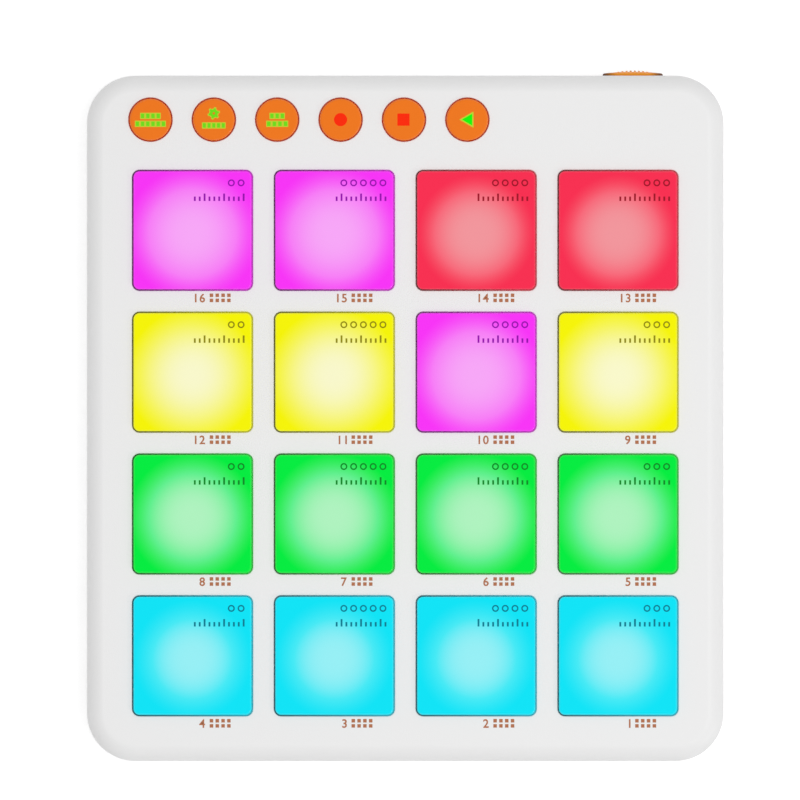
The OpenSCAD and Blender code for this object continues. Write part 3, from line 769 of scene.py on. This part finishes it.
def pad_glow_group():
    """How a pad is lit: 1 over its lamp and 0 at its corners, and the share of that light on its sides, which
    rises from left to right as painted shade and light in the gap.
    """
    group, given, out = new_group("pad_glow", {"Reach": 9 * MM, "Steepness": 3.0}, ("Glow", "Side"))
    axes = object_axes(group)
    lamp_offset = 0.7 * MM
    from_lamp = []
    for axis, shift in (("X", pitch / 2), ("Y", pitch / 2 - grid_y + lamp_offset)):
        moved = math_node(group, "ADD", axes[axis], shift)
        from_lamp.append(math_node(group, "WRAP", moved, pitch / 2, -pitch / 2))
    squares = [math_node(group, "MULTIPLY", offset, offset) for offset in from_lamp]
    distance = math_node(group, "SQRT", math_node(group, "ADD", *squares))
    ratio = math_node(group, "DIVIDE", distance, given["Reach"])
    steep = math_node(group, "POWER", ratio, given["Steepness"])
    glow = math_node(group, "POWER", 1 / math.e, steep)
    # The side share is painted: low on the pad's left side and higher towards its right, as shade and light
    # in the gap round it.
    feed(out, {
        "Glow": map_range(group, glow, 0.03, 1.0),
        "Side": map_range(group, from_lamp[0], -half_pad, half_pad, 0.04, 0.3)})
    return group


pad_glow = pad_glow_group()
HALF_LIT = 0.35
OWN_SHARE = 0.4


def polish_rim(shader, head_z, edge_r):
    """A rolled edge that the mould left glossier than the flat top inside it."""
    tree = shader.id_data
    flat = use_group(tree, height_mask, {"Low": head_z - 0.2 * edge_r, "High": head_z - 0.02 * edge_r})
    rim = math_node(tree, "SUBTRACT", 1.0, flat["Mask"])
    feed(shader, {"Coat Weight": math_node(tree, "MULTIPLY", rim, 0.6), "Coat Roughness": 0.2})


def glow_with(shader, color, strength=1.0):
    """Makes a shader give off light of its own."""
    feed(shader, {"Emission Color": color, "Emission Strength": strength})


def lit_silicone(name, rim_color, half_lit_color, heart_color, reach, steepness):
    """Silicone with a lamp behind it. The shader's own colour gives OWN_SHARE of what shows at the rim."""
    body_color = [channel * OWN_SHARE for channel in rim_color]
    material, shader = grained_material(
        name, body_color, roughness=0.6, grain_scale=3500, bump=0.015 * MM, patch_scale=90, tone=0.06,
        specular=0.02)
    tree = material.node_tree
    glow = use_group(tree, pad_glow, {"Reach": reach, "Steepness": steepness})
    lit = add_node(tree, "ShaderNodeValToRGB", {"Fac": glow["Glow"]})
    steps = lit.color_ramp.elements
    steps.new(HALF_LIT)
    for step, color in zip(steps, (rim_color, half_lit_color, heart_color)):
        step.color = (*(max(a - b, 0) for a, b in zip(color, body_color)), 1)
    # The skirt glows in the rim colour by the painted side share: shaded on the left, lit on the right.
    skirt = tinted(tree, rim_color, glow["Side"])
    roof = use_group(tree, height_mask, {"Low": top_z, "High": pad_head_z - PAD_EDGE_R / 4})
    glow_with(shader, mix_colors(tree, roof["Mask"], skirt, lit.outputs["Color"]))
    polish_rim(shader, pad_head_z, PAD_EDGE_R)
    return material


# What shows at the rim, where the glow is at HALF_LIT, and over the lamp; then how far the light reaches and
# how steeply it falls off
lamp_colors = {
    "magenta": ((0.943, 0.035, 0.936), (0.941, 0.21, 0.937), (0.94, 0.386, 0.942), 9.35 * MM, 2.9),
    "red": ((0.943, 0.03, 0.085), (0.94, 0.145, 0.20), (0.893, 0.306, 0.337), 8.8 * MM, 3.4),
    "yellow": ((0.922, 0.909, 0.002), (0.937, 0.924, 0.225), (0.954, 0.947, 0.60), 9.0 * MM, 2.7),
    "green": ((0.001, 0.845, 0.053), (0.12, 0.876, 0.274), (0.43, 0.899, 0.524), 9.35 * MM, 3.2),
    "cyan": ((0.005, 0.778, 0.929), (0.063, 0.826, 0.92), (0.308, 0.871, 0.921), 8.65 * MM, 3.2),
}
pad_materials = {name: lit_silicone(f"pad_{name}", *values) for name, values in lamp_colors.items()}
rows_of_light = [
    ["cyan", "cyan", "cyan", "cyan"],
    ["green", "green", "green", "green"],
    ["yellow", "magenta", "yellow", "yellow"],
    ["red", "red", "magenta", "magenta"],
]
# Number, middle and light of each pad. They count from the front right, to the left and then to the rear
pads = []
for row in range(4):
    for column in range(4):
        place = ((1.5 - column) * pitch, grid_y + (row - 1.5) * pitch)
        pads.append((4 * row + column + 1, place, rows_of_light[row][column]))
for number, place, light in pads:
    lit_pad = copy_of(pad_shape, f"lit_pad_{number}", (*place, 0))
    dress(lit_pad, pad_materials[light], f"pad_{number}_body", f"pad_{number}")
throw_away(pad_shape)

# Marks on the pads
# Two short lines of marks, screen-printed in a darker tint of the pad's own light near its rear right corner:
# a row of rings, and under it a row of beats. They stand for no words.
INK_T = 0.02 * MM
MARK_RIGHT = 11.2 * MM
RING_R = 0.75 * MM
RING_Y = 10.2 * MM
RING_PITCH = 2.1 * MM
BEATS = 11
BEAT_Y = 6.3 * MM
BEAT_W = 0.4 * MM
BEAT_H = 1.6 * MM
SHORT_BEAT_H = 0.6 * BEAT_H
BEAT_PITCH = 1.05 * MM
STROKE = 0.3 * MM


def bar_of_ink(left, low, z, w, h):
    return block("bar", (left, low, z), (left + w, low + h, z + INK_T))


def ring_of_ink(place, z):
    ring = upright("ring", place, z, z + INK_T, RING_R, 24)
    cut(ring, upright("inside", place, z - MM, z + MM, RING_R - STROKE, 24))
    return ring


def ink_material(name, color, glow=0.0):
    material, shader = grained_material(
        name, color, roughness=0.5, grain_scale=6000, bump=0.004 * MM, patch_scale=500, tone=0.12,
        specular=0.05)
    if glow:
        glow_with(shader, (*color, 1), glow)
    return material


mark_tints = {
    "magenta": (0.30, 0.004, 0.42), "red": (0.34, 0.006, 0.02), "yellow": (0.28, 0.25, 0.004),
    "green": (0.003, 0.24, 0.02), "cyan": (0.003, 0.20, 0.28)}
mark_inks = {light: ink_material(f"ink_{light}", tint) for light, tint in mark_tints.items()}
for number, (x, y), light in pads:
    marks = []
    for i in range(2 + number % 4):
        ring_x = x + MARK_RIGHT - RING_R - i * RING_PITCH
        marks.append(ring_of_ink((ring_x, y + RING_Y), pad_head_z))
    for i in range(BEATS):
        beat_x = x + MARK_RIGHT - BEAT_W - i * BEAT_PITCH
        beat_h = BEAT_H if (i + number) % 4 == 0 else SHORT_BEAT_H
        marks.append(bar_of_ink(beat_x, y + BEAT_Y, pad_head_z, BEAT_W, beat_h))
    printed = join_pieces(f"pad_marks_{number}", marks)
    dress(printed, mark_inks[light], f"pad_{number}_body")

# Buttons
# Six round caps of orange plastic on the switches' plungers. Each has a rolled rim, a hollow back, and a
# flange that stops it under its sleeve in the upper shell.
CAP_EDGE_R = 0.5 * MM
CAP_WALL = 1 * MM
CAP_ROOF = 1.2 * MM
CAP_FLANGE_OUT = 1 * MM
STEM_R = 1.7 * MM
cap_low, cap_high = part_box("repeat_button")
cap_r = (cap_high[0] - cap_low[0]) / 2 - CAP_FLANGE_OUT
cap_head_z = cap_high[2]
SLEEVE_H = 2.5 * MM
cap_flange_z = panel_z - SLEEVE_H - STOP_GAP - FLANGE_T
plunger_top_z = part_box("repeat_plunger")[1][2]
cap_shape = upright("cap_shape", (0, 0), cap_flange_z, cap_head_z, cap_r, 72)
round_rim(cap_shape, cap_head_z, CAP_EDGE_R, segments=6)
fuse(cap_shape, upright(
    "cap_flange", (0, 0), cap_flange_z, cap_flange_z + FLANGE_T, cap_r + CAP_FLANGE_OUT, 72))
cut(cap_shape, upright("cap_hollow", (0, 0), 0, cap_head_z - CAP_ROOF, cap_r - CAP_WALL, 48))
fuse(cap_shape, upright("cap_stem", (0, 0), plunger_top_z, cap_head_z - CAP_ROOF / 2, STEM_R, 32))
finish_surface(cap_shape)
button_orange, orange_shader = grained_material(
    "button_orange", (0.88, 0.19, 0.012), roughness=0.45, grain_scale=4500, bump=0.015 * MM, patch_scale=150,
    tone=0.06, specular=0.05)
polish_rim(orange_shader, cap_head_z, CAP_EDGE_R)
# Painted light: the cap's side below its rolled rim glows dark red, standing in for a little of the light
# behind the signs leaking out round the cap, and shows as a dark red line
PAINTED_GLOW_RED = (0.12, 0.008, 0.001)
orange_tree = button_orange.node_tree
cap_top = use_group(orange_tree, height_mask, {"Low": top_z, "High": cap_head_z - CAP_EDGE_R / 2})
glow_with(orange_shader, mix_colors(orange_tree, cap_top["Mask"], (*PAINTED_GLOW_RED, 1), (0, 0, 0, 1)))
button_places = [middle_of(f"{name}_button") for name in button_names]
for name, place in zip(button_names, button_places):
    cap = copy_of(cap_shape, f"{name}_cap", (*place, 0))
    dress(cap, button_orange, f"{name}_key", f"{name}_button")
throw_away(cap_shape)

# Signs on the buttons
# Printed signs that are lit from behind: rows of green steps, a green gear, and the red disc, red square and
# green arrow of any recorder. The green ones are printed over a slightly larger one in pale yellow-green.
SIGN_EDGE = 0.2 * MM
STEP_H = 0.95 * MM
STEP_SHARE = 0.62
STEP_PITCH = 1.12 * MM
SHIFT_STEP_PITCH = 1.02 * MM
BANK_STEP_PITCH = 1.2 * MM
GEAR_R = 1.05 * MM
GEAR_EDGE_R = 1.3 * MM
TEETH = 6
DISC_R = 1.4 * MM
SQUARE = 2.6 * MM
ARROW_HALF = 1.3 * MM
ARROW_CORNER_R = 0.18 * MM
edge_z = cap_head_z
green_z = cap_head_z + INK_T


def middle_bar(x, y, z, w, h):
    """A bar of ink whose middle is at a place."""
    return bar_of_ink(x - w / 2, y - h / 2, z, w, h)


def row_of_steps(x, y, count, step):
    """A row of green steps, and the one pale bar that lies under them."""
    left = x - (count - 1) / 2 * step
    steps = [middle_bar(left + i * step, y, green_z, STEP_SHARE * step, STEP_H) for i in range(count)]
    edge = middle_bar(x, y, edge_z, (count - 1 + STEP_SHARE) * step + 2 * SIGN_EDGE, STEP_H + 2 * SIGN_EDGE)
    return steps, edge


def gear(place, z, radius):
    """A flat gear: a disc whose every other stretch of rim is drawn out as a tooth, with a hole."""
    hole_r = tooth_h = 0.25 * radius
    wheel = upright("gear", place, z, z + INK_T, 0.8 * radius, sides=4 * TEETH)
    for tooth in range(TEETH):
        angle = 2 * math.pi * (tooth + 0.25) / TEETH
        direction = (math.cos(angle), math.sin(angle))
        pick_faces(wheel, lambda centre, normal: (
            abs(normal.z) < 0.1 and normal.x * direction[0] + normal.y * direction[1] > 0.97))
        out = (tooth_h * direction[0], tooth_h * direction[1], 0)
        bpy.ops.mesh.extrude_region_move(TRANSFORM_OT_translate={"value": out})
        close_edit()
    cut(wheel, upright("gear_hole", place, z - MM, z + MM, hole_r, 24))
    return wheel


def arrow_to_the_left(z, half_h):
    """A flat triangle: a three-sided prism whose point is at the left."""
    radius = half_h / math.sin(math.pi / 3)
    arrow = upright("arrow", arrow_place, z, z + INK_T, radius, 3, spin=math.pi / 2)
    round_along(arrow, "Z", ARROW_CORNER_R, 3)
    return arrow


sign_green = ink_material("sign_green", (0.13, 0.58, 0.008), glow=0.25)
sign_bright_green = ink_material("sign_bright_green", (0.004, 0.68, 0.001), glow=0.38)
sign_edge = ink_material("sign_edge", (0.45, 0.54, 0.03), glow=0.2)
sign_red = ink_material("sign_red", (0.85, 0.02, 0.001), glow=0.15)
middle_y = button_places[0][1]
upper_y = middle_y + 0.8 * MM
lower_y = middle_y - 0.9 * MM
under_gear_y = middle_y - 1.25 * MM
repeat_x, shift_x, bank_x, record_x, stop_x, play_x = (place[0] for place in button_places)
gear_place = (shift_x, middle_y + 1.35 * MM)
square_x = stop_x - 0.1 * MM
arrow_place = (play_x + 0.3 * MM, middle_y)
top_steps, top_edge = row_of_steps(repeat_x, upper_y, 4, STEP_PITCH)
low_steps, low_edge = row_of_steps(repeat_x, lower_y, 6, STEP_PITCH)
shift_steps, shift_edge = row_of_steps(shift_x, under_gear_y, 5, SHIFT_STEP_PITCH)
bank_top, bank_top_edge = row_of_steps(bank_x, upper_y, 3, STEP_PITCH)
bank_low, bank_low_edge = row_of_steps(bank_x, lower_y, 4, BANK_STEP_PITCH)
signs = [
    ("repeat", "sign", sign_green, [*top_steps, *low_steps]),
    ("repeat", "sign_edge", sign_edge, [top_edge, low_edge]),
    ("shift", "sign", sign_green, [gear(gear_place, green_z, GEAR_R), *shift_steps]),
    ("shift", "sign_edge", sign_edge, [gear(gear_place, edge_z, GEAR_EDGE_R), shift_edge]),
    ("bank", "sign", sign_green, [*bank_top, *bank_low]),
    ("bank", "sign_edge", sign_edge, [bank_top_edge, bank_low_edge]),
    ("record", "sign", sign_red, [upright("disc", (record_x, middle_y), edge_z, green_z, DISC_R, 48)]),
    ("stop", "sign", sign_red, [middle_bar(square_x, middle_y, edge_z, SQUARE, SQUARE)]),
    ("play", "sign", sign_bright_green, [arrow_to_the_left(green_z, ARROW_HALF)]),
    ("play", "sign_edge", sign_edge, [arrow_to_the_left(edge_z, ARROW_HALF + 2.4 * SIGN_EDGE)]),
]
for name, part, ink, shapes in signs:
    sign = join_pieces(f"{name}_{part}", shapes)
    dress(sign, ink, f"{name}_key")

# Upper shell
# The moulded top of white ABS, with the same grain as the tray: a flat panel with sixteen square windows and
# six sleeved holes, a wide rolled edge all round, and a tongue that drops into the tray's rebate. Under the
# panel, ribs keep each pad's light to itself, and bosses take the screws.
TOP_EDGE_R = 3.6 * MM
SHADOW_LINE = 0.4 * MM
PAD_GAP = 0.3 * MM
BUTTON_GAP = 0.25 * MM
SLEEVE_T = 1 * MM
LIP_R = 0.15 * MM
shell = case_block("upper_shell", 0, seam_z + SHADOW_LINE, top_z, segments=24)
round_rim(shell, top_z, TOP_EDGE_R, segments=14)
for width, drop in ((SHADOW_LINE, SHADOW_LINE), (TONGUE_SETBACK - SHADOW_LINE, TONGUE_H)):
    pick_faces(shell, lambda centre, normal: normal.z < -0.99 and abs(centre.x) + abs(centre.y) < MM)
    bpy.ops.mesh.inset(thickness=width)
    bpy.ops.mesh.extrude_region_move(TRANSFORM_OT_translate={"value": (0, 0, -drop)})
    close_edit()
room = case_block("room", WALL, seam_z - 2 * WALL, panel_z)
round_rim(room, panel_z, TOP_EDGE_R - WALL, segments=6)
cut(shell, room)
hole_r = cap_r + BUTTON_GAP
ribs_top_z = panel_z + PANEL_T / 2
for place in button_places:
    fuse(shell, upright("sleeve", place, panel_z - SLEEVE_H, ribs_top_z, hole_r + SLEEVE_T, 48))

RIB_T = 1.2 * MM
web_top_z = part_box("pad_web")[1][2]
rib_reach = 2 * pitch + RIB_T / 2
half_cell = (pitch - RIB_T) / 2
light_ribs = square_block("light_ribs", (0, grid_y), rib_reach, web_top_z, ribs_top_z)
cells = [square_block("cell", place, half_cell, 0, 2 * top_z) for _, place, _ in pads]
cut(light_ribs, join_pieces("cells", cells))
fuse(shell, light_ribs)

BOSS_R = 2.75 * MM
BOARD_BOSS_R = 2.5 * MM
PILOT_R = 1 * MM
PILOT_DEPTH = 4.6 * MM
BOARD_PILOT_DEPTH = 5 * MM
crossings = [(i * pitch, grid_y + j * pitch) for i in (-1, 0, 1) for j in (-1, 0, 1)]
for places, foot_z, radius, depth in (
        (screw_places, seam_z, BOSS_R, PILOT_DEPTH),
        (crossings, board_high[2], BOARD_BOSS_R, BOARD_PILOT_DEPTH)):
    bosses = [upright("boss", place, foot_z, ribs_top_z, radius, 32) for place in places]
    fuse(shell, join_pieces("bosses", bosses))
    pilots = [upright("pilot", place, foot_z - MM, foot_z + depth, PILOT_R, 24) for place in places]
    cut(shell, join_pieces("pilots", pilots))
fuse(shell, half_collar(1, WALL / 2))


def flared(tool, center, half_size):
    """Opens out the top of a cutter in small steps, so that the hole it leaves has a rounded lip."""
    for turn in (30, 60, 90):
        angle = math.radians(turn)
        last = math.radians(turn - 30)
        rise = LIP_R * (math.sin(angle) - math.sin(last))
        spread = LIP_R * (math.cos(last) - math.cos(angle))
        pick_faces(tool, lambda centre, normal: normal.z > 0.9 and centre.z > top_z - 2 * LIP_R)
        bpy.ops.mesh.extrude_region_move(TRANSFORM_OT_translate={"value": (0, 0, rise)})
        factor = (half_size + spread) / half_size
        half_size += spread
        bpy.ops.transform.resize(value=(factor, factor, 1), center_override=(*center, 0))
        close_edit()
    pick_faces(tool, lambda centre, normal: normal.z > 0.9 and centre.z > top_z - LIP_R)
    bpy.ops.mesh.extrude_region_move(TRANSFORM_OT_translate={"value": (0, 0, MM)})
    close_edit()
    return tool


half_window = half_pad + PAD_GAP
for _, place, _ in pads:
    window = square_block(
        "window", place, half_window, panel_z - MM, top_z - LIP_R, PAD_CORNER_R + PAD_GAP)
    cut(shell, flared(window, place, half_window))
for place in button_places:
    hole = upright("button_hole", place, panel_z - 2 * SLEEVE_H, top_z - LIP_R, hole_r, 72)
    cut(shell, flared(hole, place, hole_r))
cut(shell, dial_mouth())
finish_surface(shell)
dress(shell, shell_white, "case", "top_case")

# Numbers under the pads
# Plain numbers printed in terracotta on the panel, each before a small sign of two rows of pads. They count
# as the pads do, from the front right.
NUMBER_H = 1.85 * MM
NUMBER_Y = -15.45 * MM
NUMBER_RIGHT = 2.7 * MM
# A digit's height as a share of the type's size
DIGIT_SHARE = 0.72
SMALL_PAD = 0.75 * MM
SMALL_PAD_LEFT = 3.7 * MM
SMALL_PAD_PITCH = (1.25 * MM, 1.1 * MM)
terracotta = ink_material("terracotta", (0.45, 0.17, 0.085))


def printed_number(digits, right, y):
    """A number of ink that ends at right: a text made a mesh, then put in its place."""
    deselect_all()
    bpy.ops.object.text_add(location=(0, 0, 0))
    text = bpy.context.object
    text.data.body = digits
    text.data.size = NUMBER_H / DIGIT_SHARE
    text.data.space_character = 1.1
    text.data.offset = 0.025 * NUMBER_H
    text.data.extrude = INK_T / 2
    text.data.resolution_u = 4
    bpy.ops.object.convert(target="MESH")
    text = bpy.context.object
    text.location = (right - max(corner.co.x for corner in text.data.vertices), y, top_z + INK_T / 2)
    apply_place()
    return text


for number, (x, y), _ in pads:
    inks = [printed_number(str(number), x + NUMBER_RIGHT, y + NUMBER_Y)]
    for column in range(4):
        for row in range(2):
            left = x + SMALL_PAD_LEFT + column * SMALL_PAD_PITCH[0]
            low = y + NUMBER_Y + row * SMALL_PAD_PITCH[1]
            inks.append(bar_of_ink(left, low, top_z, SMALL_PAD, SMALL_PAD))
    label = join_pieces(f"pad_number_{number}", inks)
    dress(label, terracotta, "case")

# Dial
# A round knob of orange ABS on the encoder's shaft, half sunk in the rear wall. Its domed face carries eight
# straight ribs for the finger, moulded with it, which run out into the face at their ends.
DIAL_EDGE_R = 0.45 * MM
DIAL_PROUD = 0.92 * MM
DIAL_DOME = 0.4 * MM
RIB_COUNT = 8
RIB_PITCH = 0.89 * MM
RIB_W = 0.38 * MM
RIB_H = 0.26 * MM
RIB_DOME_R = 22 * MM
DOME_STEPS = 10
GRIP_SETBACK = 1 * MM
GRIP_EDGE_R = 0.1 * MM
face_y = half_d + DIAL_PROUD
dome_r = (dial_r ** 2 + DIAL_DOME ** 2) / (2 * DIAL_DOME)


def drop(distance, sphere_r):
    """How far a dome has fallen at a distance from the dial's axis."""
    return sphere_r - math.sqrt(sphere_r ** 2 - distance ** 2)


def domed_disc(name, inner_y, outer_y, radius, edge_r, sphere_r):
    """A disc on the dial's axis whose outer face is domed, by insets that each rise a little."""
    rim_y = outer_y - drop(radius - edge_r, sphere_r)
    disc = dial_bar(name, inner_y, rim_y, radius)
    round_rim(disc, rim_y, edge_r, segments=5, axis=1)
    for step in range(DOME_STEPS):
        outer = (radius - edge_r) * (1 - step / DOME_STEPS)
        inner = (radius - edge_r) * (1 - (step + 1) / DOME_STEPS)
        pick_faces(disc, lambda centre, normal: (
            normal.y > 0.99 and abs(centre.x - dial_x) < 0.05 * MM and abs(centre.z - seam_z) < 0.05 * MM))
        rise = drop(outer, sphere_r) - drop(inner, sphere_r)
        bpy.ops.mesh.inset(thickness=(outer - inner) * 0.999, depth=rise)
        close_edit()
    return disc


knob_inner_y = dial_low[1]
knob = domed_disc("dial", knob_inner_y, face_y, dial_r, DIAL_EDGE_R, dome_r)
ribs = []
grip_r = dial_r - GRIP_SETBACK
for i in range(RIB_COUNT):
    rib_x = dial_x + (i - (RIB_COUNT - 1) / 2) * RIB_PITCH
    half_chord = math.sqrt(grip_r ** 2 - (rib_x - dial_x) ** 2)
    ribs.append(block("rib", (rib_x - RIB_W / 2, face_y - 2 * DIAL_DOME, seam_z - half_chord),
                      (rib_x + RIB_W / 2, face_y + 2 * RIB_H, seam_z + half_chord)))
grip = join_pieces("grip", ribs)
grip_dome = domed_disc(
    "grip_dome", face_y - 3 * DIAL_DOME, face_y + RIB_H, grip_r, GRIP_EDGE_R, RIB_DOME_R)
combine(grip, grip_dome, "INTERSECT")
fuse(knob, grip)
HUB_R = 3.2 * MM
SKIRT_T = 1.2 * MM
HOLLOW_DEPTH = 2.4 * MM
BORE_R = 2 * MM
BORE_DEPTH = 3 * MM
hollow_end_y = knob_inner_y + HOLLOW_DEPTH
hollow = dial_bar("dial_hollow", knob_inner_y - MM, hollow_end_y, dial_r - SKIRT_T, 64)
cut(hollow, dial_bar("hub", knob_inner_y - 2 * MM, hollow_end_y + 2 * MM, HUB_R, 48))
cut(knob, hollow)
cut(knob, dial_bar("bore", knob_inner_y - MM, knob_inner_y + BORE_DEPTH, BORE_R, 32))
finish_surface(knob)


def dial_material():
    """Orange that dirt browns on the tops of the ribs, with painted shade in brown towards the left and right
    ends.
    """
    material, shader = new_material("dial_orange", roughness=0.45, specular=0.05)
    tree = material.node_tree
    axes = object_axes(tree)
    rubbed = map_range(tree, axes["Y"], face_y, face_y + RIB_H, to_high=0.9, kind="SMOOTHSTEP")
    from_middle = math_node(tree, "ABSOLUTE", math_node(tree, "SUBTRACT", axes["X"], dial_x))
    # Painted shade: the dial browns towards its left and right ends, where its round sides turn away from the
    # light.
    ends = map_range(tree, from_middle, 0.5 * dial_r, dial_r, kind="SMOOTHSTEP")
    # Brown mixes in by whichever is more: the dirt on the rib tops or the painted shade at the ends.
    rib_dirt_and_painted_shade = mix_colors(
        tree, math_node(tree, "MAXIMUM", rubbed, ends), (0.93, 0.33, 0.03, 1), (0.12, 0.035, 0.015, 1))
    add_grain(shader, rib_dirt_and_painted_shade, roughness=0.45, grain_scale=4500, bump=0.015 * MM, patch_scale=150, tone=0.08)
    return material


dress(knob, dial_material(), "dial", "dial_knob")

# Studio
# A pale floor and an even pale room, one wide soft lamp high up on the right, and a small low one at the
# front right that draws a fine light on the rolled edges. The camera looks straight down, as the photograph
# does.
PIXELS_PER_M = 4650
IMAGE_SIZE = 800
CAMERA_HEIGHT = 7
SENSOR = 36
case_middle_px = (405.25, 418.4)
deselect_all()
bpy.ops.mesh.primitive_plane_add(size=6, location=(0, 0, 0))
floor = bpy.context.object
floor.name = "floor"
floor_paint, floor_shader = new_material("floor_paint", roughness=0.9, specular=0)
floor_tree = floor_paint.node_tree
FLOOR_OWN_LIGHT = 0.5


def seen_directly(tree):
    """1 where the camera sees, straight or in a reflection, and 0 for the light that falls on the object."""
    path = add_node(tree, "ShaderNodeLightPath").outputs
    seen = math_node(tree, "MAXIMUM", path["Is Camera Ray"], path["Is Glossy Ray"])
    return math_node(tree, "MAXIMUM", seen, path["Is Transmission Ray"])


own_light = math_node(floor_tree, "MULTIPLY", seen_directly(floor_tree), FLOOR_OWN_LIGHT)
feed(floor_shader, {
    "Base Color": (0.8, 0.8, 0.8, 1), "Emission Color": (1, 1, 1, 1), "Emission Strength": own_light})
floor.data.materials.append(floor_paint)

world = bpy.data.worlds.new("room")
bpy.context.scene.world = world
world.use_nodes = True
world_tree = world.node_tree
ROOM_LIGHT = 0.68
extra = math_node(world_tree, "MULTIPLY", seen_directly(world_tree), 1 - ROOM_LIGHT)
feed(world_tree.nodes["Background"], {
    "Color": (1, 1, 1, 1), "Strength": math_node(world_tree, "ADD", extra, ROOM_LIGHT)})


def soft_lamp(name, toward, distance, size, power):
    """A round soft lamp that shines at the object from one direction."""
    bpy.ops.object.light_add(type="AREA", location=[distance * part for part in toward])
    lamp = bpy.context.object
    lamp.name = name
    lamp.data.shape = "DISK"
    lamp.data.size = size
    lamp.data.energy = power
    lamp.rotation_euler = (math.atan2(math.hypot(toward[0], toward[1]), toward[2]), 0,
                           math.atan2(toward[0], -toward[1]))


soft_lamp("high_lamp", (0.25, -0.05, 0.967), distance=1.5, size=0.9, power=6.5)
soft_lamp("low_lamp", (0.76, -0.52, 0.39), distance=1.2, size=0.12, power=1.0)

camera_data = bpy.data.cameras.new("camera")
camera = bpy.data.objects.new("camera", camera_data)
bpy.context.collection.objects.link(camera)
camera.location = ((IMAGE_SIZE / 2 - case_middle_px[0]) / PIXELS_PER_M,
                   (case_middle_px[1] - IMAGE_SIZE / 2) / PIXELS_PER_M, top_z + CAMERA_HEIGHT)
camera_data.sensor_width = SENSOR
camera_data.lens = SENSOR * CAMERA_HEIGHT * PIXELS_PER_M / IMAGE_SIZE
bpy.context.scene.camera = camera
bpy.context.scene.view_settings.view_transform = "Standard"
